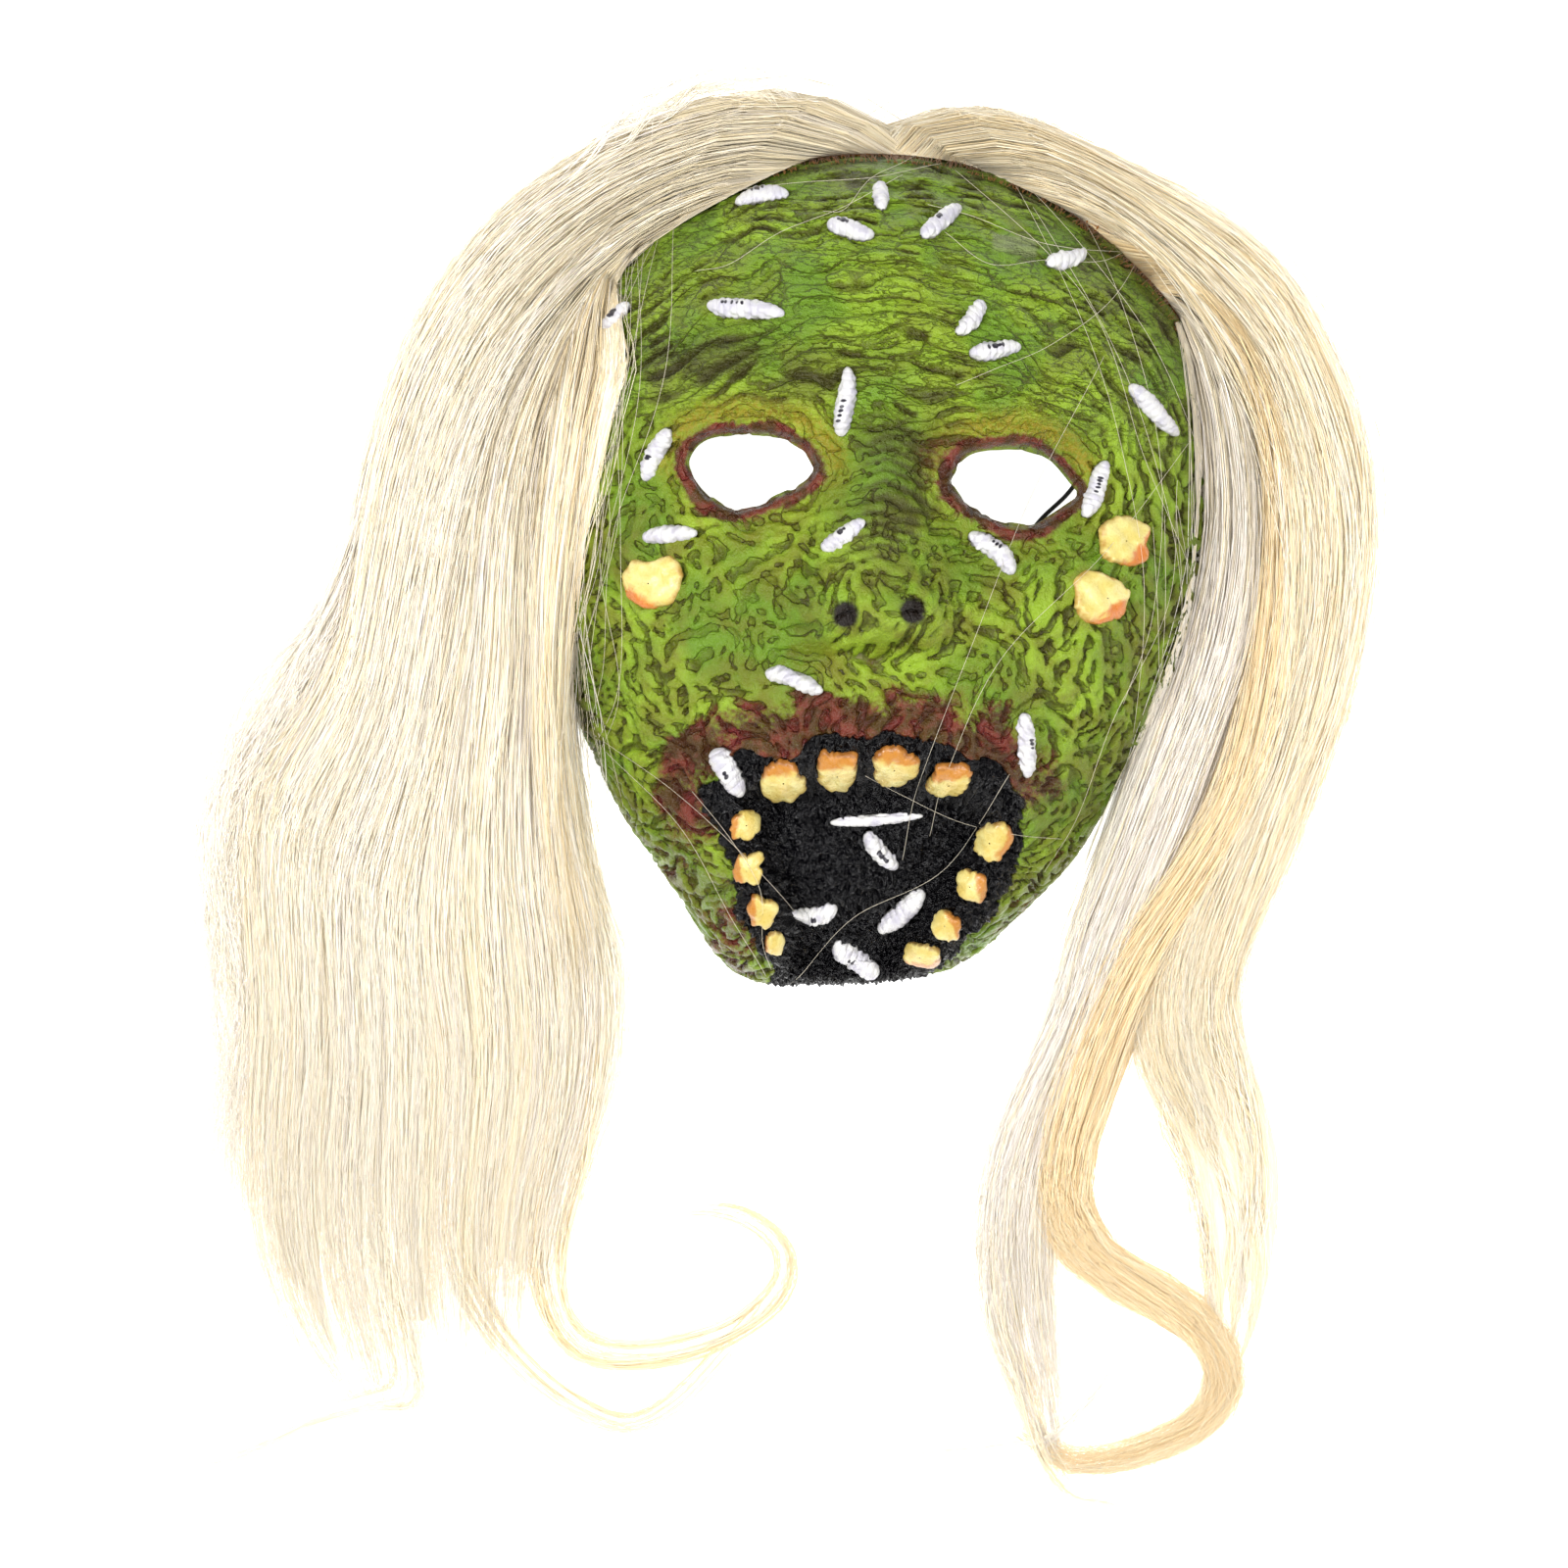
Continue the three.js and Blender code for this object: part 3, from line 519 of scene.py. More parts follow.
def paint_masks(wrinkles, flat, x, y, share):
    """How much of each paint a point of the skin carries."""
    slow, patch = sample(wrinkles["slow"], *flat.T), sample(wrinkles["patch"], *flat.T)
    eye = np.max([inside_distance(loop, x, y) for loop in EYE_LOOPS], axis=0)
    round_mouth = -inside_distance(MOUTH_LOOP, x, y)
    # dark: a wash on the brows and the nose bridge, plus painted shade towards the top of the forehead and
    # towards the rim, where the steep walls turn from the light
    dark = patches(DARK_PATCHES, x, y) + 0.55 * smooth(76, 103, y)
    dark += 0.55 * smooth(0.88, 1.0, share) + 0.12 * slow + 0.1 * patch
    lid = np.exp(-((eye + 1.9 + 0.5 * patch) / 1.7) ** 2)
    red = lid + 0.45 * bump(x - 13, y - 27, 4, 5) + 0.25 * np.exp(-(eye / 9) ** 2) * (y < 20)
    lips = smooth(19, 4, round_mouth + 3 * patch) * smooth(-75, -50, y + 4 * slow)
    red += 0.95 * lips + patches(RED_CORNERS, x, y) + 0.12 * smooth(0, 1.5, patch) * smooth(-10, -40, y)
    inner = 0.6 * smooth(-0.9, -0.2, eye)
    rust = 0.9 * bump(eye + 6, 0, 2.4, 1) * smooth(14, 26, y) + 0.25 * bump(eye + 6, 0, 3, 1)
    earth = 0.15 + 0.6 * smooth(32, 0, y) + 0.25 * smooth(60, 85, np.abs(x)) + 0.15 * patch
    label = smooth(0.5, 0, np.maximum(np.abs(x - 30.5) - 5.5, np.abs(y - 83 + 0.1 * (x - 30.5)) - 2.2))
    # tone varies at random, and the bump below the nostrils lightens it there as a painted highlight
    tone = 0.5 + 0.22 * slow + 0.12 * patch + 0.6 * bump(x + 1, y + 28, 6, 6)
    return {"dark": np.clip(dark, 0, 1), "red": np.clip(red, 0, 1), "earth": np.clip(earth, 0, 1),
            "inner": inner, "label": label, "rust": rust, "tone": tone}


def mesh_object(name, points, faces, materials, picks=None):
    """A smooth-shaded mesh whose object sits at the origin."""
    mesh = bpy.data.meshes.new(name)
    faces = np.asarray(faces)
    count, sides = faces.shape
    mesh.vertices.add(len(points))
    mesh.vertices.foreach_set("co", to_scene(points).ravel())
    mesh.loops.add(count * sides)
    mesh.loops.foreach_set("vertex_index", faces.ravel().astype(np.int32))
    mesh.polygons.add(count)
    mesh.polygons.foreach_set("loop_start", np.arange(0, count * sides, sides, dtype=np.int32))
    for material in materials:
        mesh.materials.append(material)
    if picks is not None:
        mesh.polygons.foreach_set("material_index", np.asarray(picks, np.int32))
    mesh.polygons.foreach_set("use_smooth", np.ones(count, bool))
    mesh.update(calc_edges=True)
    piece = bpy.data.objects.new(name, mesh)
    bpy.context.scene.collection.objects.link(piece)
    return piece


def store(piece, name, values):
    made = piece.data.attributes.new(name, "FLOAT", "POINT")
    made.data.foreach_set("value", np.asarray(values, np.float32))


def latex_face(wrinkles, outside, inside):
    loops = shell_loops()
    flat, outer_faces = flat_mesh(loops, FINE)
    inner_loops = [loop + (0, NOSTRIL_SLANT) if number in NOSTRIL_LOOPS else loop
                   for number, loop in enumerate(loops)]
    inner_flat, inner_faces = flat_mesh(inner_loops, COARSE)
    rim = len(loops[0])
    outer, normal = smooth_surface(flat)
    inner, inner_normal = smooth_surface(inner_flat)
    normal[:rim, 2] = inner_normal[:rim, 2] = 0
    normal, inner_normal = unit(normal), unit(inner_normal)
    x, y, share = from_flat(flat)
    height, groove, mouth = wrinkle_height(wrinkles, flat, x, y)
    outer = outer + normal * height[:, None]
    inner = inner - THICKNESS * inner_normal
    for skin in (outer, inner):
        skin[:, 2] = np.maximum(skin[:, 2], 0)
    points, faces = join_skins(outer, inner, outer_faces, inner_faces, loops)
    picks = np.zeros(len(faces), int)
    picks[len(outer_faces):len(outer_faces) + len(inner_faces)] = 1
    piece = mesh_object("latex_skin", points, faces, [outside, inside], picks)
    spare = len(points) - len(outer)
    masks = paint_masks(wrinkles, flat, x, y, share)
    masks.update(groove=groove, black=mouth, web=sample(wrinkles["web"], *flat.T), brow=smooth(26, 44, y))
    for name, values in masks.items():
        inside_value = 1.0 if name in ("inner", "groove") else 0.0
        store(piece, name, np.concatenate([values, np.full(spare, inside_value)]))
    # painted shade: near black round and in each nostril, where the hole lies in shadow
    nostril_shade = np.zeros(len(points))
    for nx, ny in NOSTRILS:
        nostril_shade += smooth(1.45, 1.1, np.hypot((points[:, 0] - nx) / NOSTRIL_SIZE[0],
                                          (points[:, 1] - ny - NOSTRIL_SLANT / 4) / (NOSTRIL_SIZE[1] + 1)))
    store(piece, "nostril_shade", nostril_shade)
    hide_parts("latex_face")
    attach(piece, "face")
    return piece


# ---- materials ----

NOISE_ROUGHNESS = 0.55


def colour(code):
    """A linear colour from its hexadecimal sRGB code."""
    values = [int(code[i:i + 2], 16) / 255 for i in (0, 2, 4)]
    return tuple(v / 12.92 if v < 0.04045 else ((v + 0.055) / 1.055) ** 2.4 for v in values) + (1.0,)


class Paint:
    """Builds a node material round one Principled shader."""

    def __init__(self, name, **sockets):
        self.material = bpy.data.materials.new(name)
        self.material.use_nodes = True
        self.tree = self.material.node_tree
        self.shader = self.tree.nodes["Principled BSDF"]
        self.place = self.tree.nodes.new("ShaderNodeTexCoord").outputs["Object"]
        for socket, value in sockets.items():
            self.shader.inputs[socket.replace("_", " ")].default_value = value

    def node(self, kind, inputs, **settings):
        made = self.tree.nodes.new("ShaderNode" + kind)
        for key, value in settings.items():
            setattr(made, key, value)
        for socket, value in inputs.items():
            if isinstance(value, bpy.types.NodeSocket):
                self.tree.links.new(value, made.inputs[socket])
            else:
                made.inputs[socket].default_value = value
        return made

    def noise(self, scale, detail, distortion=0.0, stretch=None):
        place = self.place
        if stretch:
            place = self.node("Mapping", {"Vector": place, "Scale": stretch}).outputs[0]
        return self.node("TexNoise", {"Vector": place, "Scale": scale, "Detail": detail,
                                      "Roughness": NOISE_ROUGHNESS, "Distortion": distortion}).outputs["Fac"]

    def mask(self, name):
        return self.node("Attribute", {}, attribute_name=name).outputs["Fac"]

    def math(self, operation, a, b=0.0, c=0.0):
        return self.node("Math", {0: a, 1: b, 2: c}, operation=operation).outputs[0]

    def plus(self, a, b):
        return self.math("ADD", a, b)

    def times(self, a, b):
        return self.math("MULTIPLY", a, b)

    def frayed(self, value, noise, amount):
        """The value with an uneven edge: the noise moves it up and down by half the amount."""
        return self.plus(value, self.math("MULTIPLY_ADD", noise, amount, -amount / 2))

    def span(self, value, low, high, bottom=0.0, top=1.0):
        """Eases from bottom to top as the value goes from low to high."""
        return self.node("MapRange", {"Value": value, "From Min": low, "From Max": high, "To Min": bottom,
                                      "To Max": top}, interpolation_type="SMOOTHSTEP").outputs[0]

    def mix(self, share, a, b):
        return self.node("Mix", {0: share, 6: a, 7: b}, data_type="RGBA").outputs[2]

    def bump(self, height, distance, strength):
        made = self.node("Bump", {"Height": height, "Distance": distance, "Strength": strength})
        self.tree.links.new(made.outputs[0], self.shader.inputs["Normal"])

    def feed(self, socket, value):
        self.tree.links.new(value, self.shader.inputs[socket])


def latex_creases(p, brow, cloud):
    """Thin creases: along the folds' own lines, and long ones across the forehead."""
    web = p.math("MULTIPLY_ADD", p.noise(420, 3), 1.5, p.plus(p.mask("web"), -0.75))
    crease = p.span(p.math("ABSOLUTE", web), 0.05, 0.3, 1, 0)
    long_noise = p.noise(190, 3, distortion=0.4, stretch=(1.0, 3.0, 1.0))
    long_crease = p.span(p.math("ABSOLUTE", p.plus(long_noise, -0.5)), 0.008, 0.04, 1, 0)
    crease = p.math("MAXIMUM", crease, p.times(long_crease, p.times(brow, 0.8)))
    return p.times(crease, p.span(cloud, 0.3, 0.6, 0.35, 1.0))


def latex_paint():
    p = Paint("latex_paint", Specular_IOR_Level=0.3)
    groove, dark, red, black, tone, earth, brow = (
        p.mask(name) for name in ("groove", "dark", "red", "black", "tone", "earth", "brow"))
    grain, speck, cloud = p.noise(900, 4), p.noise(2600, 3), p.noise(160, 3)
    stain = p.noise(60, 4, distortion=0.8)
    crease = latex_creases(p, brow, cloud)
    rough_groove = p.frayed(groove, grain, 0.6)
    # the greens, then earth, then darker in the grooves and creases: partly a dark wash settled there, partly
    # painted shade
    # lighter where tone is high, which includes the painted highlight on the nose tip
    base = p.mix(p.span(tone, 0.1, 0.9), colour("60811A"), colour("86A226"))
    base = p.mix(p.span(stain, 0.4, 0.7, 0, 0.55), base, colour("6B6F1C"))
    soil = p.times(earth, p.span(cloud, 0.3, 0.7, 0.2, 1.0))
    base = p.mix(p.span(soil, 0.1, 1.0, 0, 0.6), base, colour("625514"))
    base = p.mix(p.span(rough_groove, 0.2, 0.9, 0, 0.6), base, colour("454311"))
    # painted shade and dark paint along the thin creases, which are only bump, not geometry
    base = p.mix(p.times(crease, 0.7), base, colour("33200E"))
    base = p.mix(p.span(rough_groove, 0.75, 1.15, 0, 0.65), base, colour("2C1F0B"))
    base = p.mix(p.times(p.mask("rust"), p.span(grain, 0.3, 0.7, 0.3, 0.9)), base, colour("8A7A1E"))
    # the dark wash on the brows and the nose, with painted shade towards the top and the rim, both stronger
    # in the grooves; then the red of the lids and lips
    wash_and_painted_shade = p.times(dark, p.span(rough_groove, -0.1, 0.7, 0.6, 1.05))
    wash_and_painted_shade = p.plus(wash_and_painted_shade, p.math("MULTIPLY_ADD", cloud, 0.5, -0.27))
    base = p.mix(p.span(wash_and_painted_shade, 0.12, 0.8, 0, 0.85), base, colour("35310D"))
    blood = p.frayed(p.times(red, p.span(rough_groove, -0.2, 0.6, 0.75, 1.2)), grain, 0.6)
    base = p.mix(p.span(blood, 0.2, 0.75, 0, 0.92), base,
                 p.mix(p.span(cloud, 0.4, 0.65), colour("40140D"), colour("6C2224")))
    base = p.mix(p.times(p.mask("inner"), 0.7), base, colour("3B3A12"))
    base = p.mix(p.times(p.mask("label"), 0.8), base, colour("7C8658"))
    # painted shade in the nostrils
    base = p.mix(p.mask("nostril_shade"), base, colour("160D06"))
    # the mouth's wet black
    tar = p.span(p.frayed(black, grain, 0.5), 0.35, 0.6)
    base = p.mix(tar, base, p.mix(speck, colour("000001"), colour("050408")))
    p.feed("Base Color", base)
    shine = p.plus(p.span(speck, 0.3, 0.7, 0.28, 0.46), p.times(blood, -0.12))
    p.feed("Roughness", p.mix(tar, shine, p.span(speck, 0.3, 0.7, 0.1, 0.24)))
    rise = p.plus(p.times(grain, 0.6), p.times(speck, 0.25))
    rise = p.plus(rise, p.times(crease, -0.7))
    p.bump(p.plus(rise, p.times(tar, p.times(p.noise(420, 2), 2.2))), 0.0013, 0.9)
    return p.material


def latex_inside():
    p = Paint("latex_inside", Roughness=0.6)
    cloud = p.noise(120, 4)
    p.feed("Base Color", p.mix(p.span(cloud, 0.3, 0.7), colour("55562C"), colour("6E6B3C")))
    p.bump(p.noise(700, 3), 0.0004, 0.5)
    return p.material


# ---- what sits on the face: x, y, then turn, length and width, or width and height ----

MAGGOTS = [
    (-35.2, 91.7, 12, 14.1, 4.2), (-4.2, 93.2, 99, 7.6, 4.5), (-11.8, 83.4, -11, 12.6, 5),
    (11.3, 87.2, 42, 13.6, 5), (44, 80.8, 24, 11.6, 5), (-71, 58.5, 42, 10.1, 3.8),
    (-37.1, 60.8, -4, 20.2, 5.5), (19.8, 62, 54, 11.1, 5), (26.7, 53.9, 12, 13.6, 5),
    (-10.6, 38.3, 89, 17.7, 5.5), (69, 43.1, -38, 18.2, 5), (-57.8, 22.8, 69, 15.1, 5.5),
    (54.8, 21.2, 74, 16.6, 5.5), (-52.6, 2.2, 9, 14.1, 5), (-8.3, 3.9, 39, 13.1, 4.5),
    (29.3, 2.6, -38, 15.6, 5.5), (-18.5, -33.1, -16, 15.6, 5), (41.6, -45.3, -84, 16.8, 5),
    (-34, -57.1, -54, 13.4, 6.2), (5, -67, 8, 24.2, 3), (6.6, -75, -44, 12.6, 5.2),
    (-9.5, -92, 12, 12.6, 5), (13.4, -90.5, 46, 16, 5.6), (2.6, -103.5, -30, 14.5, 6.6)]

# ... and the side that its orange lies on, in degrees
TEETH = {
    "tooth_upper_1": (-19.6, -57.6, 9.6, 9.1, 100), "tooth_upper_2": (-6.4, -54.8, 9.6, 9.6, 100),
    "tooth_upper_3": (8.3, -52.5, 10.6, 8.1, 85), "tooth_upper_4": (22.6, -55.3, 11.1, 7.6, 95),
    "tooth_left_1": (-29.3, -70.7, 5.5, 7.6, 190), "tooth_left_2": (-27.1, -81.6, 6.6, 8.1, 200),
    "tooth_left_3": (-22.8, -92.2, 6.2, 7.6, 190), "tooth_left_4": (-19.9, -100.6, 4.5, 6, 200),
    "tooth_right_1": (35.5, -70.4, 8.1, 9.6, -15), "tooth_right_2": (31, -82.5, 6.6, 8.6, 0),
    "tooth_right_3": (25.4, -92.6, 5.5, 6.6, 20), "tooth_right_4": (19.8, -101, 7.4, 6, -70)}
BLISTERS = {
    "blister_left_cheek": (-56.1, -10.5, 14.5, 13, 235), "blister_right_upper": (62.8, 8.2, 13, 12, -35),
    "blister_right_lower": (58.6, -6.6, 14, 12.5, -60)}
TOOTH_RISE, TOOTH_RAGGED = 2.2, 0.22
BLISTER_RISE, BLISTER_RAGGED = 2.4, 0.16
GRUB_RINGS, GRUB_AROUND = 90, 56
SEGMENT_LENGTH = 1.7
LONG_GRUB = 9.0            # shorter ones have no dark dots
BLOB_RINGS, BLOB_AROUND = 24, 110
SQUARENESS = 2.6           # the power of a blob's outline: 2 is an oval


def on_face(x, y, up):
    """Points that far out of the face's smooth surface; pieces by a lid sit as high as its ridge."""
    point, normal = smooth_surface(to_flat(x, y), lids=0.0)
    lift = 0.6 * max(0.0, float(lid_height(x, y).max()))
    return point + normal * (up + lift)[:, None]


def ring_sum(rng, turn, octaves):
    """A random closed wave of a turn, about 1 in size."""
    total = np.zeros(turn.shape)
    for k in octaves:
        total += np.sin(k * turn + rng.uniform(0, 2 * math.pi)) * rng.normal(0, 1) / math.sqrt(len(octaves))
    return total


def grub(number, spot, material):
    """A segmented grub: closed rings of skin with a fold between each two."""
    x, y, turn, length, width = spot
    rng = np.random.default_rng(SEED + GRUB_SEED + number)
    t = np.linspace(-1, 1, GRUB_RINGS)[:, None]
    phi = full_turn(GRUB_AROUND)[None]
    segments = max(5, round(length / SEGMENT_LENGTH))
    fold = np.abs(np.sin((t + 1) / 2 * math.pi * segments)) ** 0.45
    body = np.clip(1 - np.abs(t) ** 3.6, 0, 1) ** 0.55
    thicker_end = 1 + 0.10 * t * rng.choice((-1, 1)) - 0.12 * t ** 2
    ragged = 1.0
    for size, twist, octaves in ((0.06, 3 * t + phi, (2, 3, 5)), (0.05, 5 * t - 2 * phi, (1, 3)),
                                 (0.05, 11 * t + 3 * phi, (1, 2)), (0.04, 7 * phi - 5 * t, (1, 3))):
        ragged = ragged + size * ring_sum(rng, twist, octaves)
    girth = width * body * thicker_end * (0.9 + 0.14 * fold)
    wide = 0.42 * girth * ragged
    bend = rng.normal(0, 0.5) * (1 - t ** 2) + 0.25 * np.sin(3 * t + rng.uniform(0, 6))
    along = t * length / 2 + 0 * phi
    across = wide * np.cos(phi) + bend
    up = 0.5 * girth * np.sin(phi) * (1 + 0.05 * ring_sum(rng, t * 4 + phi, (2, 4)))
    up = np.maximum(up, -0.9) + 0.35
    c, s = math.cos(math.radians(turn)), math.sin(math.radians(turn))
    points = on_face((x + along * c - across * s).ravel(), (y + along * s + across * c).ravel(), up.ravel())
    piece = mesh_object(f"grub_{number:02d}", points, tube_faces(GRUB_RINGS, GRUB_AROUND), [material])
    dots = np.zeros(along.shape)
    if number % 3 != 2 and length > LONG_GRUB:
        count, start = rng.integers(2, 6), rng.uniform(-0.6, 0.0)
        for k in range(count):
            middle = (start + 0.13 * k) * length / 2 + rng.normal(0, 0.12)
            dot = bump(along - middle, across - bend - 0.08 * width, 0.3, 0.34 + 0.3 * rng.random())
            dots += dot * (up > 0.5)
    store(piece, "dots", np.clip(dots, 0, 1).ravel())
    # crease and low carry painted shade: lilac grey in the folds between segments, darker low down towards
    # the face
    store(piece, "crease", np.repeat(1 - fold, GRUB_AROUND, axis=1).ravel())
    store(piece, "low", smooth(1.4, -0.2, up).ravel())
    seat(piece, f"maggot_{number:02d}")


def tube_faces(rows, around):
    """Triangles of a closed tube of rings, with its ends closed by fans."""
    i = np.arange(rows - 1)[:, None] * around
    k = np.arange(around)[None]
    a, b = i + k, i + (k + 1) % around
    walls = np.concatenate([np.stack([a, b + around, b], axis=-1).reshape(-1, 3),
                            np.stack([a, a + around, b + around], axis=-1).reshape(-1, 3)])
    fan = np.arange(1, around - 1)
    last = (rows - 1) * around
    ends = np.concatenate([np.stack([0 * fan, fan, fan + 1], axis=1),
                           np.stack([last + 0 * fan, last + fan + 1, last + fan], axis=1)])
    return np.concatenate([walls, ends])


def seat(piece, node):
    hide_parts(node)
    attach(piece, "face")


def ragged_ring(rng, phi, knots):
    """A random closed outline: values from -1 to 1 at uneven angles, joined smoothly."""
    places = (np.arange(knots) + rng.uniform(-0.35, 0.35, knots)) * 2 * math.pi / knots
    values = rng.uniform(-1, 1, knots)
    places = np.concatenate([places - 2 * math.pi, places, places + 2 * math.pi])
    values = np.tile(values, 3)
    k = np.clip(np.searchsorted(places, phi.ravel()) - 1, 0, len(places) - 2)
    t = (phi.ravel() - places[k]) / (places[k + 1] - places[k])
    t = t * t * (3 - 2 * t)
    return (values[k] * (1 - t) + values[k + 1] * t).reshape(phi.shape)


def blob(name, spot, rise, ragged, material, seed):
    """A lumpy dome with a ragged edge; it carries how near its edge and how orange each point is."""
    x, y, width, height, side = spot
    rng = np.random.default_rng(SEED + seed)
    share = np.concatenate([[0.0], np.linspace(0.05, 1, BLOB_RINGS - 4), [1.02, 0.98, 0.6]])[:, None]
    drop = np.concatenate([np.zeros(BLOB_RINGS - 3), [0.6, 1.6, 1.8]])[:, None]
    phi = full_turn(BLOB_AROUND)[None]
    reach = (np.abs(np.cos(phi)) ** SQUARENESS + np.abs(np.sin(phi)) ** SQUARENESS) ** (-1 / SQUARENESS)
    reach = reach * (1 + ragged * ragged_ring(rng, phi, 7) + 0.5 * ragged * ragged_ring(rng, phi, 17)
                     + 0.25 * ragged * ragged_ring(rng, phi, 41))
    dx, dy = share * reach * np.cos(phi) * width / 2, share * reach * np.sin(phi) * height / 2
    crown = np.sqrt(np.clip(1 - np.minimum(share, 1) ** 4.5, 0, 1))
    uneven = 1 + 0.22 * ragged_ring(rng, phi + 1.5 * share, 5) * share
    uneven = uneven + 0.12 * np.sin(dx * 1.1 + rng.uniform(0, 6)) * np.sin(dy * 0.9 + rng.uniform(0, 6))
    up = rise * (0.4 + 0.6 * crown) * uneven - drop
    points = on_face((x + dx).ravel(), (y + dy).ravel(), up.ravel())
    faces = tube_faces(len(share), BLOB_AROUND)[:, ::-1]
    piece = mesh_object(name + "_skin", points, faces, [material])
    rim = np.clip(np.minimum(share, 1) + 0 * phi, 0, 1)
    toward = (dx * math.cos(math.radians(side)) / width + dy * math.sin(math.radians(side)) / height) * 2
    store(piece, "rim", rim.ravel())
    store(piece, "orange", np.clip(toward, -1, 1).ravel())
    seat(piece, name)


def grub_paint():
    p = Paint("grub_paint", Specular_IOR_Level=0.5)
    grain, cloud = p.noise(900, 4), p.noise(260, 3)
    base = p.mix(p.span(cloud, 0.35, 0.7), colour("CFCECB"), colour("B4B1BC"))
    # painted shade: lilac grey in the folds, darker on the low sides
    base = p.mix(p.span(p.mask("crease"), 0.5, 1.0, 0, 0.55), base, colour("857F92"))
    base = p.mix(p.span(p.frayed(p.mask("low"), grain, 0.5), 0.45, 1.0, 0, 0.85), base, colour("55524A"))
    base = p.mix(p.span(p.frayed(p.mask("dots"), grain, 0.4), 0.35, 0.6), base, colour("23202A"))
    p.feed("Base Color", base)
    p.feed("Roughness", p.span(grain, 0.3, 0.7, 0.3, 0.45))
    p.bump(grain, 0.0004, 0.5)
    return p.material


def enamel_paint(name, pale, light, deep, brown, spread):
    """Pale yellow paint that turns orange towards one side and brown at its edge."""
    p = Paint(name, Specular_IOR_Level=0.5)
    grain, cloud, streak = p.noise(1100, 4), p.noise(220, 4, distortion=0.6), p.noise(500, 3)
    base = p.mix(p.span(cloud, 0.35, 0.7), colour(pale), colour(light))
    toward = p.frayed(p.mask("orange"), cloud, 1.1)
    base = p.mix(p.span(toward, 0.7 - spread, 1.0 - spread, 0, 0.95), base, colour(deep))
    edge = p.frayed(p.mask("rim"), streak, 0.6)
    base = p.mix(p.span(edge, 0.78, 1.08, 0, 0.75), base, colour(brown))
    p.feed("Base Color", base)
    p.feed("Roughness", p.span(grain, 0.3, 0.7, 0.24, 0.42))
    p.bump(p.plus(p.times(cloud, 0.6), p.times(grain, 0.4)), 0.0009, 0.5)
    return p.material


def add_trim():
    white = grub_paint()
    for number, spot in enumerate(MAGGOTS, 1):
        grub(number, spot, white)
    ivory = enamel_paint("tooth_enamel", "C4AC5A", "D2C680", "B4752E", "74421A", 0.45)
    for seed, (name, spot) in enumerate(TEETH.items()):
        blob(name, spot, TOOTH_RISE, TOOTH_RAGGED, ivory, TOOTH_SEED + seed)
    pus = enamel_paint("blister_skin", "CDBB68", "D8CC86", "C06A28", "A27028", 0.35)
    for seed, (name, spot) in enumerate(BLISTERS.items()):
        blob(name, spot, BLISTER_RISE, BLISTER_RAGGED, pus, BLISTER_SEED + seed)


# ---- the sewn tape along the hairline ----

TAPE_SHARES = (0.93, 0.86)
TAPE_END = 0.56            # radians above the +X and -X axes
TAPE_RISE = 1.2
TAPE_RINGS = 300
TAPE_SECTION = [(1, -0.4), (1, 0.9), (0.75, 1.25), (0.5, 1.1), (0.25, 1.25), (0, 0.9), (0, -0.4)]
STITCH_STEP, THREAD_RADIUS = 0.035, 0.24


def tape_point(angle, share, up):
    reach = outline_reach(angle) * np.sin(share * math.pi / 2)
    return on_face(reach * np.cos(angle), OUTLINE_Y + reach * np.sin(angle), up)


def tube(path, radius, sides=8):
    """Points and triangles of a closed round tube along a path."""
    side, up = square_to(path, (0.31, 0.17, 0.93))
    turn = full_turn(sides)
    ring = np.cos(turn)[None, :, None] * side[:, None] + np.sin(turn)[None, :, None] * up[:, None]
    points = path[:, None] + np.reshape(radius, (-1, 1, 1)) * ring
    return points.reshape(-1, 3), tube_faces(len(path), sides)[:, ::-1]


def merge(parts):
    points, faces, start = [], [], 0
    for part_points, part_faces in parts:
        points.append(part_points)
        faces.append(part_faces + start)
        start += len(part_points)
    return np.vstack(points), np.vstack(faces)


def weft_tape():
    rng = np.random.default_rng(SEED + TAPE_SEED)
    angle = np.linspace(TAPE_END, math.pi - TAPE_END, TAPE_RINGS)
    wavy = 0.006 * np.sin(angle * 90) + 0.004 * ring_sum(rng, angle * 2, (7, 11, 23))
    rings = []
    for across, up in TAPE_SECTION:
        share = TAPE_SHARES[1] + (TAPE_SHARES[0] - TAPE_SHARES[1]) * across + wavy * (across > 0.5)
        rings.append(tape_point(angle, share, np.full(TAPE_RINGS, up * TAPE_RISE)))
    points = np.stack(rings, axis=1).reshape(-1, 3)
    parts = [(points, tube_faces(TAPE_RINGS, len(TAPE_SECTION)))]
    for start in np.arange(TAPE_END + 0.02, math.pi - TAPE_END - 0.03, STITCH_STEP):
        lean = rng.normal(0, 0.004)
        spots = np.array([(start, 0.845, 0.1), (start + 0.004, 0.865, 1.5), (start + 0.012 + lean, 0.9, 1.9),
                          (start + 0.02 + lean, 0.935, 1.5), (start + 0.024, 0.945, 0.3)])
        thread = tape_point(spots[:, 0], spots[:, 1], spots[:, 2] * TAPE_RISE)
        parts.append(tube(spline(thread, 12), THREAD_RADIUS, 6))
    p = Paint("weft_cloth", Roughness=0.85, Specular_IOR_Level=0.2)
    weave, cloud = p.noise(2400, 3, stretch=(1.0, 2.5, 1.0)), p.noise(300, 3)
    dyed = p.mix(cloud, colour("6B3A1C"), colour("9B6233"))
    p.feed("Base Color", p.mix(p.span(weave, 0.35, 0.65), dyed, colour("C08A52")))
    p.bump(weave, 0.0005, 0.8)
    points, faces = merge(parts)
    seat(mesh_object("weft_tape", points, faces, [p.material]), "hair_weft_tape")


# ---- the elastic: from the right temple, along the table under the face, to the left temple ----

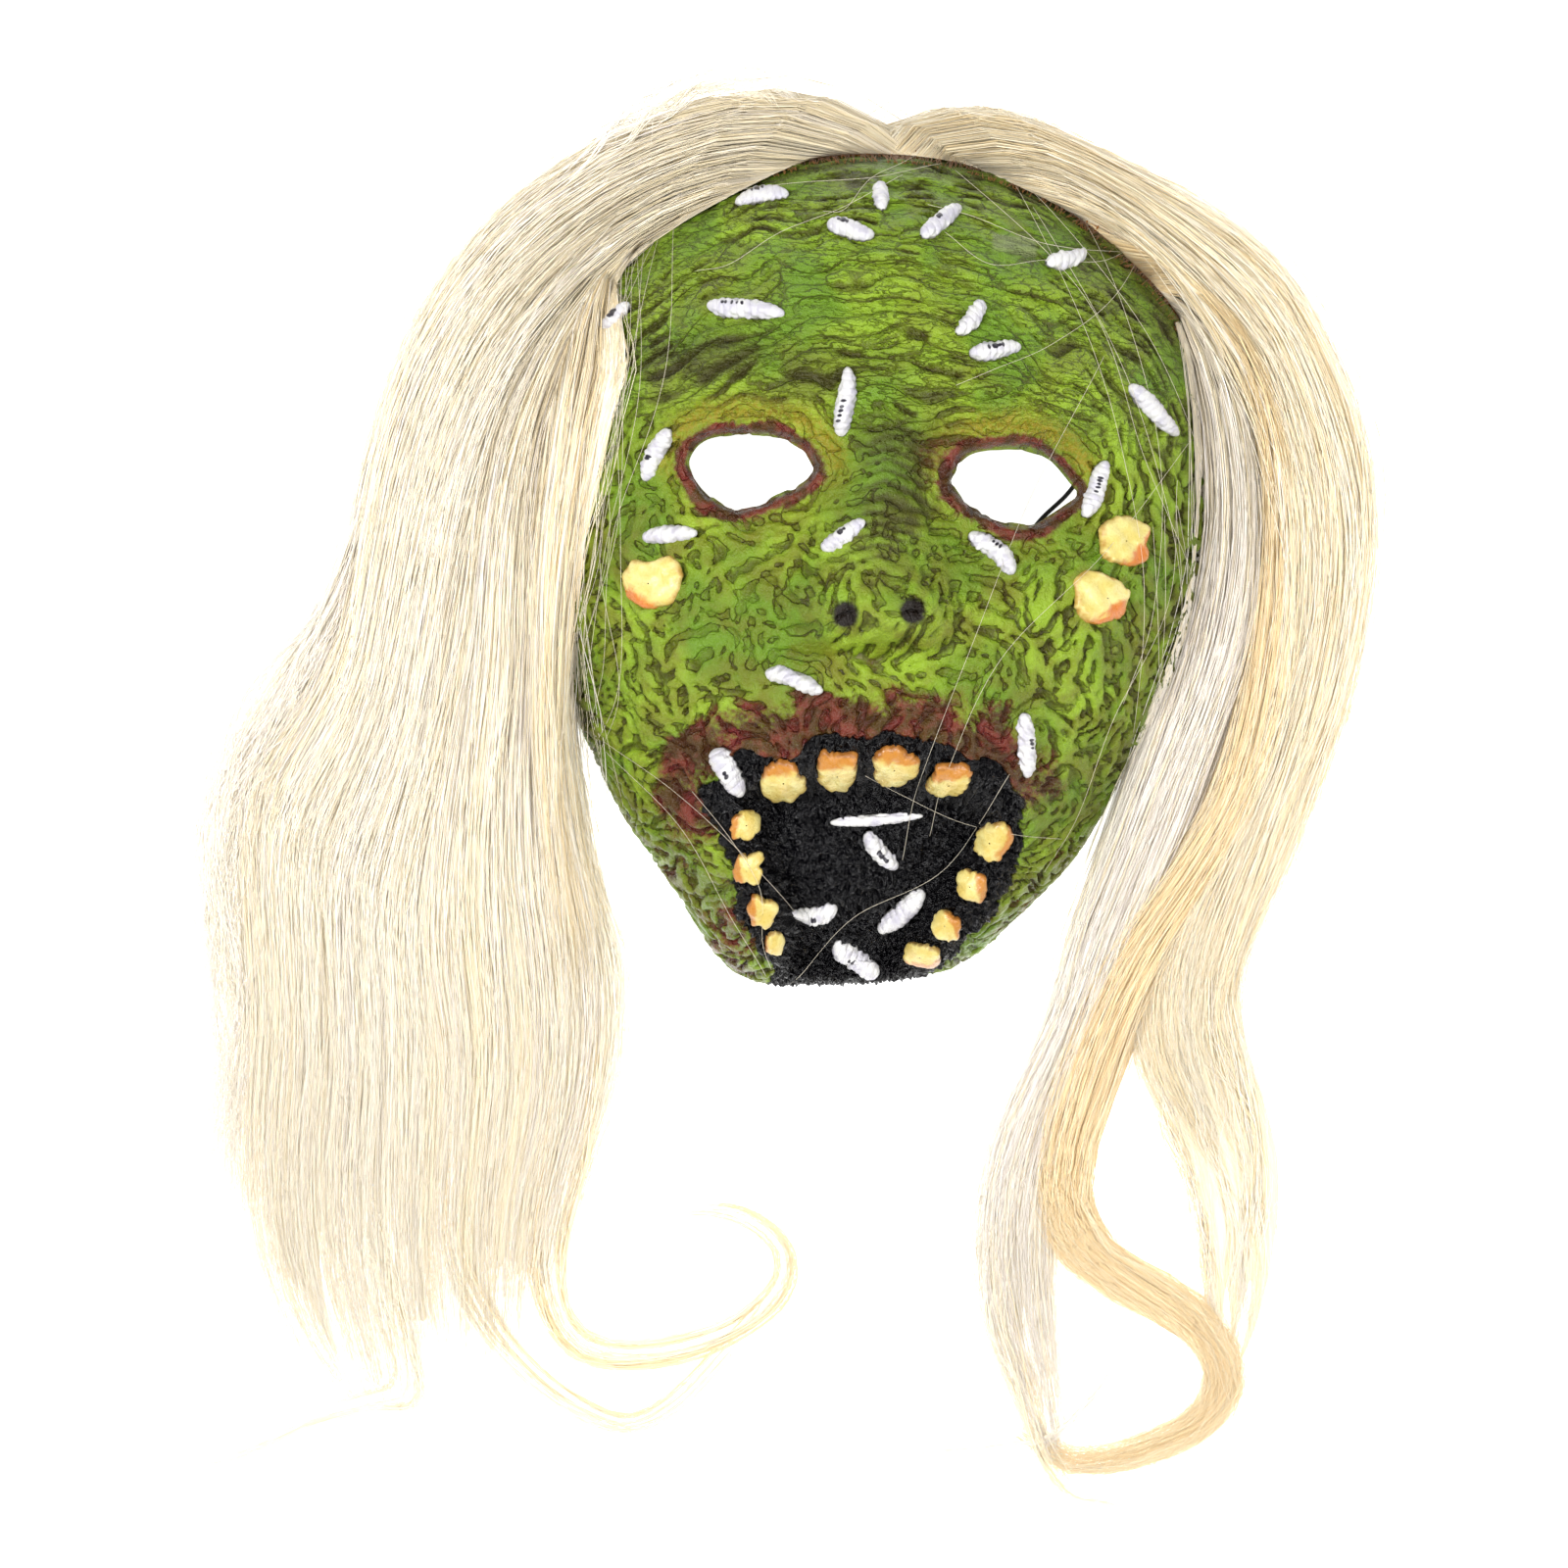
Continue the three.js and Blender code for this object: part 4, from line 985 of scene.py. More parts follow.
CORD_RADIUS = 0.6
CORD_LIE = CORD_RADIUS + 0.2
KNOT_SIZE = 2.2
BRAID_SCALE = 2600.0
TAIL_LEFT = np.array([(0, 0, 0), (-0.6, 1.2, 0.3), (-1.5, 2.5, 0)])
TAIL_RIGHT = np.array([(0, 0, 0), (0.6, 5, 0.5), (-1.5, 11, 1.5), (-6, 17, 2.5)])
ELASTIC_ROUTE = [
    (71, 56.5, 7.5), (65, 52, 3.2), (60, 42, CORD_LIE), (55.5, 31, CORD_LIE), (50.5, 22.5, CORD_LIE),
    (43, 14, CORD_LIE), (36, 2, CORD_LIE), (26, -10, CORD_LIE), (10, -18, CORD_LIE), (-10, -19, CORD_LIE),
    (-29, -12, CORD_LIE), (-44, 0, CORD_LIE), (-55, 15, CORD_LIE), (-60, 30, CORD_LIE), (-63, 43, CORD_LIE),
    (-66.5, 52.5, 3.2), (-72, 56.5, 7.5)]


def elastic_cloth():
    p = Paint("elastic_braid", Roughness=0.75, Specular_IOR_Level=0.3, Sheen_Weight=0.25)
    braid = p.node("TexVoronoi", {"Vector": p.place, "Scale": BRAID_SCALE}).outputs["Distance"]
    p.feed("Base Color", p.mix(p.span(braid, 0.1, 0.6), colour("0B0B0D"), colour("26262B")))
    p.bump(braid, 0.0002, 0.9)
    return p.material


def elastic(cloth):
    end = temple_reach() - 0.4
    route = [(end, TEMPLE_Y, TEMPLE_Z), (end - 6, TEMPLE_Y, TEMPLE_Z), *ELASTIC_ROUTE,
             (6 - end, TEMPLE_Y, TEMPLE_Z), (-end, TEMPLE_Y, TEMPLE_Z)]
    path = spline(route, 240)
    data = bpy.data.curves.new("elastic", "CURVE")
    data.dimensions = "3D"
    data.bevel_depth = CORD_RADIUS / MM
    data.bevel_resolution = 4
    data.use_fill_caps = True
    line = data.splines.new("POLY")
    line.points.add(len(path) - 1)
    line.points.foreach_set("co", np.hstack([to_scene(path), np.ones((len(path), 1))]).ravel())
    data.materials.append(cloth)
    piece = bpy.data.objects.new("elastic", data)
    bpy.context.scene.collection.objects.link(piece)
    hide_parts("elastic_cord")
    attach(piece, "elastic")


def knot(name, side, tail, cloth):
    """An overhand knot of the cord outside the temple's hole, with a loose tail."""
    turn = np.linspace(0, 2 * math.pi, 90)
    size = (KNOT_SIZE - CORD_RADIUS) / 3
    wound = np.stack([0.9 * size * np.sin(3 * turn), size * (np.sin(turn) + 2 * np.sin(2 * turn)),
                      size * (np.cos(turn) - 2 * np.cos(2 * turn))], axis=1)
    centre = np.array([side * (temple_reach() + 0.3 + KNOT_SIZE), TEMPLE_Y, TEMPLE_Z])
    parts = [tube(wound + centre, CORD_RADIUS), tube(spline(centre + tail, 40), CORD_RADIUS)]
    points, faces = merge(parts)
    seat(mesh_object(name + "_tied", points, faces, [cloth]), name)


# ---- hair: bands of strands, each between two edge lines ----

# Each band: the body that it is named for, the crown angles its roots span, its outer and inner edge,
# the height of its top along the way, how many strands, how loose they are, and the tones they use.
BANDS = {
    "left_outer": dict(
        body="hair_left", roots=(1.50, 2.2), strands=2300, loose=1.0, tones=(0, 0, 1, 1, 2, 4),
        outer=[(4, 112), (-16, 121), (-34, 123), (-52, 119), (-74, 110), (-95, 96), (-112, 78), (-125, 56),
               (-133, 30), (-137, 4), (-141, -26), (-150, -46), (-160, -62), (-163, -82), (-160, -105),
               (-157, -130), (-158, -155), (-156, -180), (-150, -200), (-141, -216), (-128, -228)],
        inner=[(-48, 89), (-59, 83), (-69, 74), (-79, 63), (-88, 50), (-96, 30), (-101, 8), (-103, -18),
               (-105, -44), (-108, -66), (-111, -86), (-111, -108), (-107, -132), (-106, -156), (-105, -178),
               (-103, -198), (-101, -214), (-100, -226), (-101, -233), (-104, -236)],
        heights=[20, 25, 26, 26, 25, 24, 22, 21, 19, 18, 17, 16, 15, 13, 12, 11, 9, 7, 5, 3]),
    "left_inner": dict(
        body="hair_left", roots=(2.1, 2.5), strands=1700, loose=0.8, tones=(0, 1, 1, 2, 2, 4),
        outer=[(-56, 90), (-72, 80), (-88, 62), (-100, 36), (-106, 6), (-108, -26), (-112, -56), (-116, -86),
               (-117, -112), (-112, -138), (-111, -162), (-110, -186), (-106, -206), (-102, -222),
               (-99, -232)],
        inner=[(-67, 76), (-73, 65), (-76, 51), (-79, 33), (-81, 8), (-80, -18), (-76, -44), (-72, -66),
               (-66, -88), (-59, -106), (-57, -126), (-59, -146), (-65, -168), (-69, -188), (-72, -206)],
        heights=[22, 27, 29, 29, 28, 26, 22, 19, 17, 15, 13, 12, 10, 8, 5]),
    "left_flank": dict(
        body="hair_left", roots=(2.3, 2.56), strands=900, loose=0.6, tones=(0, 1, 2, 2, 3),
        outer=[(-76, 72), (-82, 60), (-86, 44), (-88, 22), (-89, -2), (-88, -28), (-86, -52), (-83, -76),
               (-80, -100), (-78, -124), (-78, -146)],
        inner=[(-72, 72), (-70, 58), (-67, 46), (-70, 30), (-73, 10), (-76, -12), (-77, -34), (-75, -56),
               (-70, -78), (-63, -98), (-60, -122)],
        heights=[30, 36, 42, 42, 40, 36, 30, 24, 19, 15, 11]),
    "left_curl": dict(
        body="hair_left", roots=None, strands=150, loose=0.25, tones=(1, 2, 3, 3),
        outer=[(-80, -130), (-80, -165), (-80, -188), (-74, -206), (-64, -216), (-48, -217), (-32, -213),
               (-18, -205), (-9, -196), (-7, -186), (-12, -177), (-24, -171), (-36, -172), (-44, -175)],
        inner=[(-62, -130), (-63, -160), (-68, -182), (-67, -200), (-60, -208), (-48, -209), (-36, -206),
               (-24, -201), (-16, -193), (-13, -187), (-16, -181), (-25, -176), (-36, -175), (-44, -176)],
        heights=[14, 12, 10, 8, 7, 6, 6, 5, 5, 5, 4, 3, 3, 2]),
    "left_second_curl": dict(
        body="hair_left", roots=None, strands=90, loose=0.3, tones=(1, 2, 3),
        outer=[(-104, -150), (-104, -185), (-94, -208), (-80, -222), (-66, -231), (-50, -235), (-36, -228),
               (-24, -214), (-13, -198), (-9, -190)],
        inner=[(-94, -150), (-94, -182), (-84, -204), (-73, -216), (-62, -224), (-50, -228), (-40, -222),
               (-29, -210), (-18, -197), (-14, -190)],
        heights=[11, 9, 8, 6, 5, 4, 4, 4, 5, 5]),
    "left_sweep": dict(
        body="hair_left", roots=None, strands=60, loose=0.4, tones=(1, 1, 3),
        outer=[(-132, -170), (-122, -200), (-112, -222), (-120, -228), (-136, -235), (-152, -244),
               (-168, -249)],
        inner=[(-118, -170), (-108, -200), (-101, -230), (-116, -233), (-134, -239), (-152, -248),
               (-169, -250)],
        heights=[9, 7, 6, 5, 4, 3, 2]),
    "crown_wisps": dict(
        body="hair_left", roots=None, strands=60, loose=1.6, tones=(0, 1),
        outer=[(-92, 92), (-74, 113), (-54, 127), (-38, 129), (-24, 119)],
        inner=[(-88, 90), (-70, 106), (-52, 117), (-38, 119), (-26, 114)],
        heights=[22, 22, 21, 20, 19]),
    "left_wisps": dict(
        body="hair_left", roots=None, strands=240, loose=2.6, tones=(0, 1, 4),
        outer=[(-136, 10), (-145, -18), (-158, -42), (-171, -68), (-173, -92), (-167, -114), (-163, -138),
               (-166, -164), (-169, -186)],
        inner=[(-128, 10), (-134, -20), (-146, -46), (-158, -66), (-160, -90), (-156, -112), (-154, -138),
               (-156, -166), (-152, -196)],
        heights=[15, 14, 12, 10, 9, 8, 7, 5, 3]),
    "right_outer": dict(
        body="hair_right", roots=(1.66, 0.98), strands=1600, loose=0.8, tones=(0, 1, 1, 2, 2, 3),
        outer=[(-14, 111), (4, 120), (20, 123), (38, 119), (62, 110), (83, 101), (101, 89), (115, 70),
               (126, 48), (132, 24), (132, 0), (129, -24), (124, -44), (119, -62), (112, -82), (106, -98),
               (106, -114), (111, -130),
               (117, -146), (120, -160), (120, -170)],
        inner=[(40, 97), (53, 92), (66, 84), (80, 72), (90, 57), (97, 40), (101, 22), (102, 2), (101, -16),
               (98, -34), (94, -52), (89, -68), (82, -84), (76, -98), (74, -112), (78, -128), (87, -142),
               (97, -154), (106, -163), (114, -170)],
        heights=[18, 22, 24, 25, 25, 24, 23, 22, 21, 19, 18, 17, 16, 15, 14, 12, 11, 9, 6, 3]),
    "right_gold": dict(
        body="hair_right", roots=(1.0, 0.7), strands=1100, loose=0.5, mass=0.5, tones=(2, 3, 3, 5, 5),
        outer=[(58, 92), (78, 82), (97, 66), (108, 44), (113, 18), (114, -8), (112, -32), (107, -54),
               (97, -76),
               (86, -96), (79, -114), (74, -132), (69, -150), (68, -164), (72, -174), (84, -180), (99, -187),
               (110, -198), (114, -210), (107, -223), (92, -232), (76, -237), (62, -236), (53, -228)],
        inner=[(66, 84), (82, 72), (93, 54), (98, 32), (100, 8), (99, -16), (96, -38), (91, -58), (80, -78),
               (68, -97), (60, -115), (55, -132), (52, -150), (53, -166), (60, -179), (76, -190), (92, -196),
               (102, -203), (105, -210), (100, -217), (88, -224), (75, -229), (64, -230), (56, -224)],
        heights=[20, 25, 26, 24, 22, 20, 19, 18, 18, 17, 17, 16, 15, 14, 13, 12, 10, 9, 8, 7, 6, 5, 4, 3]),
    "right_inner": dict(
        body="hair_right", roots=(0.74, 0.58), strands=1050, loose=0.6, tones=(0, 0, 2, 4, 4),
        outer=[(76, 76), (88, 64), (98, 44), (103, 18), (103, -8), (98, -32), (91, -56), (83, -78), (75, -98),
               (69, -118), (64, -138), (60, -158), (60, -178), (62, -198), (65, -214), (66, -228)],
        inner=[(72, 74), (78, 57), (82, 36), (84, 12), (81, -12), (75, -34), (69, -54), (63, -75), (57, -96),
               (53, -119), (44, -142), (39, -162), (39, -184), (45, -204), (53, -222), (62, -236)],
        heights=[20, 24, 24, 22, 20, 19, 17, 16, 15, 14, 12, 10, 9, 7, 6, 4]),
    "right_loop": dict(
        body="hair_right", roots=None, strands=110, loose=0.5, tones=(1, 2, 3),
        outer=[(56, -150), (50, -175), (52, -196), (58, -214), (62, -228), (70, -240), (82, -243)],
        inner=[(46, -150), (40, -175), (42, -196), (49, -214), (56, -230), (66, -243), (80, -245)],
        heights=[10, 8, 7, 6, 5, 4, 3]),
    "right_tuft": dict(
        body="hair_right", roots=None, strands=240, loose=1.2, tones=(0, 1, 3, 4),
        outer=[(104, -100), (108, -118), (114, -134), (119, -152), (119, -172), (116, -192), (112, -206)],
        inner=[(82, -100), (80, -120), (86, -140), (94, -158), (99, -174), (102, -190), (104, -206)],
        heights=[12, 11, 10, 9, 8, 6, 4]),
    "right_wisp": dict(
        body="hair_right", roots=None, strands=36, loose=0.4, tones=(1, 4),
        outer=[(82, -196), (74, -214), (62, -227), (46, -230), (28, -233), (9, -234)],
        inner=[(80, -198), (71, -217), (60, -230), (46, -233), (28, -236), (9, -236)],
        heights=[7, 6, 5, 4, 3, 2]),
}
PATH_POINTS = 48           # along the middle line that a band's strands are resampled from
STRAND_POINTS = 26
CLUMP_SIZE = 11            # strands
STRAY_SHARE = 0.07
HAIR_CLEARANCE = 1.2       # above the smooth face, so that strands stay out of its wrinkles
STRAND_RADIUS = 0.13
HAIR_TONES = ("FAF4E8", "FBF3E0", "FAEED2", "F9E6BE", "F1EAE2", "F6DEB0", "9A6A3C")
# the last tone, a brown, is painted shade for the hair ends along the tape's inner edge
ROOT_SHADE_TONE = 6
CROWN_PAINTED_SHADE = (0.76, 0.72, 0.62, 1.0)   # painted shade: the tones darkened for the thick roll of the crown
HAIR_PAINTED_GLOW = 0.04           # painted glow: faint emission that stands in for the light the thin fibres let through from the pale table


def face_top(x, y):
    """The lowest that hair lies there: over the shell, and over the table outside it."""
    return plain_height(x, y) + HAIR_CLEARANCE


def band_path(band, across, level):
    """Control points of a band's strands: across runs from its outer to its inner edge, level to its top."""
    outer, inner = spline(band["outer"], PATH_POINTS), spline(band["inner"], PATH_POINTS)
    tops = np.interp(np.linspace(0, 1, PATH_POINTS), np.linspace(0, 1, len(band["heights"])), band["heights"])
    u = across[:, None]
    flat = outer[None] * (1 - u[..., None]) + inner[None] * u[..., None]
    arch = np.sqrt(np.clip(1 - np.abs(2 * u - 1) ** 2.6, 0.03, 1))
    z = 0.5 + (tops[None] * (0.25 + 0.75 * arch) - 0.5) * level[:, None]
    return np.concatenate([flat, z[..., None]], axis=2)


def rooted(band, across, level, path):
    """Prefixes each strand with its root on the sewn tape and the lift out of it."""
    if band["roots"] is None:
        return path
    angle = band["roots"][0] * (1 - across) + band["roots"][1] * across
    stitched = []
    for share, rise in ((0.86, 0.2), (0.95, 3.5)):
        reach = outline_reach(angle) * math.sin(share * math.pi / 2)
        x, y = reach * np.cos(angle), OUTLINE_Y + reach * np.sin(angle)
        stitched.append(np.stack([x, y, face_top(x, y) + rise + 3 * level * (share > 0.9)], axis=1))
    return np.concatenate([np.stack(stitched, axis=1), path[:, 1:]], axis=1)


def resample(paths, begin, finish, count):
    """Each path's points spaced evenly by length between two shares of it."""
    steps = np.linalg.norm(np.diff(paths, axis=1), axis=2)
    run = np.concatenate([np.zeros((len(paths), 1)), np.cumsum(steps, axis=1)], axis=1)
    spots = begin[:, None] + (finish - begin)[:, None] * np.linspace(0, 1, count)[None]
    spots = spots * run[:, -1:]
    out = np.empty((len(paths), count, 3))
    for i in range(len(paths)):
        for axis in range(3):
            out[i, :, axis] = np.interp(spots[i], run[i], paths[i, :, axis])
    return out


def waves(rng, clump, count, amount, share):
    """Sideways sway in millimetres: shared by a clump, with a little of each strand's own."""
    clumps = clump.max() + 1
    total = np.zeros((len(clump), count))
    for octave, size in ((1.3, 1.6), (2.7, 0.8), (5.5, 0.28)):
        pitch = octave * rng.uniform(0.7, 1.3, clumps)[clump] + rng.normal(0, 0.05, len(clump))
        phase = rng.uniform(0, 2 * math.pi, clumps)[clump] + rng.normal(0, 0.35, len(clump))
        strength = size * rng.uniform(0.3, 1.2, clumps)[clump]
        total += strength[:, None] * np.sin(2 * math.pi * pitch[:, None] * share[None] + phase[:, None])
    own = rng.normal(0, 0.35, (len(clump), 1)) * np.sin(share[None] * rng.uniform(3, 12, (len(clump), 1)))
    return amount * (total + own)


def grow_band(rng, band):
    """Strand centre lines, their clumps and their thickness."""
    number = band["strands"]
    clumps = max(4, number // CLUMP_SIZE)
    clump = rng.integers(0, clumps, number)
    middle = rng.uniform(0.02, 0.98, clumps)
    rise = rng.uniform(0.35, 1.0, clumps) ** 0.5
    across = np.clip(middle[clump] + rng.normal(0, 0.028, number), 0, 1)
    level = np.clip(rise[clump] + rng.normal(0, 0.07, number), 0.02, 1.06)
    stray = rng.random(number) < STRAY_SHARE
    across = np.where(stray, np.clip(across + rng.normal(0, 0.12, number), -0.12, 1.1), across)
    path = rooted(band, across, level, band_path(band, across, level))
    begin = np.zeros(number) if band["roots"] else rng.uniform(0, 0.12, number)
    end_of_clump = rng.uniform(0.84, 1.0, clumps)[clump]
    finish = np.clip(end_of_clump + rng.normal(0, 0.025, number), 0.6, 1.0)
    lines = resample(path, begin, finish, STRAND_POINTS)

    share = np.linspace(0, 1, STRAND_POINTS)
    tangent = unit(np.gradient(lines, axis=1))
    side = np.stack([-tangent[..., 1], tangent[..., 0], np.zeros(tangent.shape[:2])], axis=2)
    ease = smooth(0.03, 0.3, share)[None] * np.where(stray, 2.6, 1.0)[:, None]
    sway = waves(rng, clump, STRAND_POINTS, band["loose"], share) * ease
    bob = waves(rng, clump, STRAND_POINTS, 0.45 * band["loose"], share) * ease
    lines = lines + side * sway[..., None]
    lines[..., 2] += bob + np.where(stray, 1.2, 0)[:, None] * ease
    over = face_top(lines[..., 0], lines[..., 1]) + 0.6 * level[:, None]
    lines[..., 2] = np.where(near_face(lines), np.maximum(lines[..., 2], over), lines[..., 2])
    lines[..., 2] = np.maximum(lines[..., 2], STRAND_RADIUS + 0.1)
    thick = STRAND_RADIUS * rng.uniform(0.75, 1.2, number)[:, None] * np.where(stray, 0.75, 1.0)[:, None]
    thick = thick * (1 - 0.65 * smooth(0.55, 1.0, share))[None] * np.ones((number, 1))
    return lines, clump, thick


def strand_mesh(lines, thick):
    """A closed three-sided tube round each centre line."""
    number, count, _ = lines.shape
    side, up = square_to(lines, (0.05, 0.02, 1.0))
    rings = []
    for k in range(3):
        turn = 2 * math.pi * k / 3 + math.pi / 2
        rings.append(lines + thick[..., None] * (math.cos(turn) * side + math.sin(turn) * up))
    points = np.stack(rings, axis=2).reshape(-1, 3)
    start = np.arange(number)[:, None, None] * count * 3
    row = np.arange(count - 1)[None, :, None] * 3
    k = np.arange(3)[None, None, :]
    a, b = start + row + k, start + row + (k + 1) % 3
    walls = np.stack([np.stack([a, b + 3, b], axis=-1), np.stack([a, a + 3, b + 3], axis=-1)], axis=3)
    first = np.arange(number)[:, None] * count * 3
    last = first + (count - 1) * 3
    caps = np.stack([first + (0, 1, 2), last + (0, 2, 1)], axis=1)
    faces = np.concatenate([walls.reshape(number, -1, 3), caps], axis=1)
    return points, faces.reshape(-1, 3), faces.shape[1]


def hair_tones():
    """Each tone with painted shade for the thick roll of the crown, then again with a painted glow for the
    thin ends.
    """
    made = []
    for suffix, glow, cast in (("", 0.0, CROWN_PAINTED_SHADE), ("_lit", HAIR_PAINTED_GLOW, (1, 1, 1, 1))):
        for number, code in enumerate(HAIR_TONES):
            shade = tuple(np.multiply(colour(code), cast))
            made.append(Paint(f"hair_tone_{number}{suffix}", Roughness=0.42, Specular_IOR_Level=0.35,
                              Sheen_Weight=0.12, Base_Color=shade, Emission_Color=colour(code),
                              Emission_Strength=glow).material)
    return made


def make_hair(tones, fibre):
    for number, (name, band) in enumerate(BANDS.items()):
        rng = np.random.default_rng(SEED + STRAND_SEED + number)
        if name in MASSES:
            combed_mass(np.random.default_rng(SEED + MASS_SEED + number), name, band, fibre)
        lines, clump, thick = grow_band(rng, band)
        points, faces, per_strand = strand_mesh(lines, thick)
        pick = rng.choice(band["tones"], clump.max() + 1)[clump]
        own = rng.random(len(clump)) < 0.3
        pick = np.where(own, rng.choice(band["tones"], len(clump)), pick)
        row = np.minimum(np.arange(per_strand) // 6, STRAND_POINTS - 1) / STRAND_POINTS
        fade = rng.uniform(0.04, 0.32, len(clump)) if band["roots"] else np.zeros(len(clump))
        # the first share of each rooted strand takes the copies with painted shade, the rest the copies with
        # the painted glow
        picks = pick[:, None] + len(HAIR_TONES) * (row[None] >= fade[:, None])
        piece = mesh_object(f"strands_{name}", points, faces, tones, picks.ravel())
        hang_hair(piece)


# Loose hairs on the face: where each group starts and ends, its sideways bow, spread and number.
LOOSE_HAIRS = [
    ((-72, 82), (-78, -62), 5, 5, 12), ((-60, 94), (-66, -100), -16, 6, 4), ((36, 103), (76, -50), 12, 13, 6),
    ((8, 107), (-46, 84), 4, 7, 3), ((66, 88), (8, 66), 9, 12, 3), ((70, 40), (24, -60), -6, 12, 2),
    ((-52, -58), (-22, -108), 6, 9, 3), ((44, -56), (-8, -96), 4, 14, 2), ((78, 16), (68, -80), 6, 5, 6)]
LOOSE_RADIUS, LOOSE_POINTS = 0.065, 60
FRINGE_HAIRS, FRINGE_POINTS, FRINGE_RADIUS = 900, 7, 0.12


def loose_hairs(tones):
    """Single hairs that have fallen across the face and lie on its skin."""
    rng = np.random.default_rng(SEED + LOOSE_SEED)
    lines = []
    for start, end, bow, spread, number in LOOSE_HAIRS:
        along = unit(np.subtract(end, start))
        aside = np.array([-along[1], along[0]])
        for _ in range(number):
            a, b = start + rng.normal(0, spread, 2), end + rng.normal(0, 1.6 * spread, 2)
            bends = [a * (1 - t) + b * t + aside * (4 * bow * t * (1 - t) + rng.normal(0, 3))
                     for t in (0.3, 0.6, 0.85)]
            flat = spline([a, *bends, b], LOOSE_POINTS)
            lift = 0.5 + rng.uniform(0, 2.0) * np.sin(math.pi * np.linspace(0, 1, LOOSE_POINTS)) ** 2
            lines.append(np.column_stack([flat, face_top(*flat.T) + lift]))
    lines = np.array(lines)
    points, faces, _ = strand_mesh(lines, np.full(lines.shape[:2], LOOSE_RADIUS))
    # all its hairs take tone 0's copy with painted shade
    piece = mesh_object("strands_loose", points, faces, tones)
    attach(piece, "face")


def root_fringe(tones):
    """Short hair ends that stand out from under the tape's inner edge, brown as painted shade along the
    hairline.
    """
    rng = np.random.default_rng(SEED + FRINGE_SEED)
    column, along = (FRINGE_HAIRS, 1), np.linspace(0, 1, FRINGE_POINTS)
    root = rng.uniform(TAPE_END, math.pi - TAPE_END, FRINGE_HAIRS)[:, None]
    angle = root + rng.normal(0, 0.012, column) * 2 * along
    first, last = rng.uniform(0.78, 0.86, column), rng.uniform(0.92, 0.99, column)
    share = first + (last - first) * along
    reach = outline_reach(angle) * np.sin(share * math.pi / 2)
    x, y = reach * np.cos(angle), OUTLINE_Y + reach * np.sin(angle)
    z = face_top(x, y) - 0.9 + rng.uniform(1.4, 2.6, column) * along ** 0.5
    thick = np.full(x.shape, FRINGE_RADIUS)
    points, faces, per_strand = strand_mesh(np.stack([x, y, z], axis=2), thick)
    piece = mesh_object("strands_roots", points, faces, tones, np.full(FRINGE_HAIRS * per_strand, ROOT_SHADE_TONE))
    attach(piece, "face")


MASSES = ("left_outer", "left_inner", "right_outer", "right_gold", "right_inner", "right_tuft")
MASS_ROWS, MASS_ACROSS = 110, 56
MASS_LEVEL, MASS_REACH = 0.86, 0.88      # how high in its band, and how far along it
MASS_THICKNESS = 3.2
FACE_LOW, FACE_SIDE = -70, 84            # hair has to clear the face above and within these


def near_face(points):
    return (points[..., 1] > FACE_LOW) & (np.abs(points[..., 0]) < FACE_SIDE)


def sheet_faces(rows, across):
    """A closed sheet of rings, its top then its bottom, with each end closed from edge to edge."""
    around = 2 * across
    ends = 2 * (around - 2)
    a = np.arange(across - 1)
    b = around - 1 - a
    strip = np.concatenate([np.stack([a, a + 1, b - 1], axis=1), np.stack([a, b - 1, b], axis=1)])
    return np.concatenate([tube_faces(rows, around)[:-ends], strip, strip[:, ::-1] + (rows - 1) * around])


def combed_mass(rng, name, band, material):
    """A closed sheet under the strands, combed into grooves, that ends short of their tips."""
    begin, reach = 0.03 if band["roots"] else 0.0, band.get("mass", MASS_REACH)
    u, level = np.linspace(0.05, 0.95, MASS_ACROSS), np.full(MASS_ACROSS, MASS_LEVEL)
    path = rooted(band, u, level, band_path(band, u, level))
    ragged = reach + 0.05 * ring_sum(rng, 9 * u, (1, 2, 5))
    lines = resample(path, np.full(MASS_ACROSS, begin), np.clip(ragged, 0.5, 0.97), MASS_ROWS)
    share = np.linspace(0, 1, MASS_ROWS)
    comb = np.zeros((MASS_ACROSS, MASS_ROWS))
    for period, size in ((0.19, 0.8), (0.083, 0.5), (0.041, 0.3)):
        drift = ring_sum(rng, 2.2 * share, (1, 2))[None] * 0.8
        comb += size * np.sin(2 * math.pi * u[:, None] / period + drift + rng.uniform(0, 6))
    edge = np.clip(1 - np.abs(2 * np.linspace(0, 1, MASS_ACROSS) - 1) ** 3, 0.05, 1)[:, None]
    body = edge * np.clip(1.2 - share ** 4, 0.2, 1)[None]
    top = lines.copy()
    top[..., 2] += 0.6 * comb * band["loose"] ** 0.5 * body - 0.9
    over = face_top(top[..., 0], top[..., 1])
    top[..., 2] = np.where(near_face(top), np.maximum(top[..., 2], over), top[..., 2])
    bottom = top.copy()
    bottom[..., 2] -= 0.3 + MASS_THICKNESS * body
    top[..., 2] = np.maximum(top[..., 2], 0.6)
    bottom[..., 2] = np.maximum(np.minimum(bottom[..., 2], top[..., 2] - 0.3), 0.15)
    rings = np.concatenate([top, bottom[::-1]], axis=0).transpose(1, 0, 2)
    points = rings.reshape(-1, 3)
    piece = mesh_object(f"mass_{name}", points, sheet_faces(MASS_ROWS, MASS_ACROSS), [material])
    store(piece, "across", np.tile(np.concatenate([u, u[::-1]]), MASS_ROWS))
    store(piece, "along", np.repeat(share, 2 * MASS_ACROSS))
    hang_hair(piece)


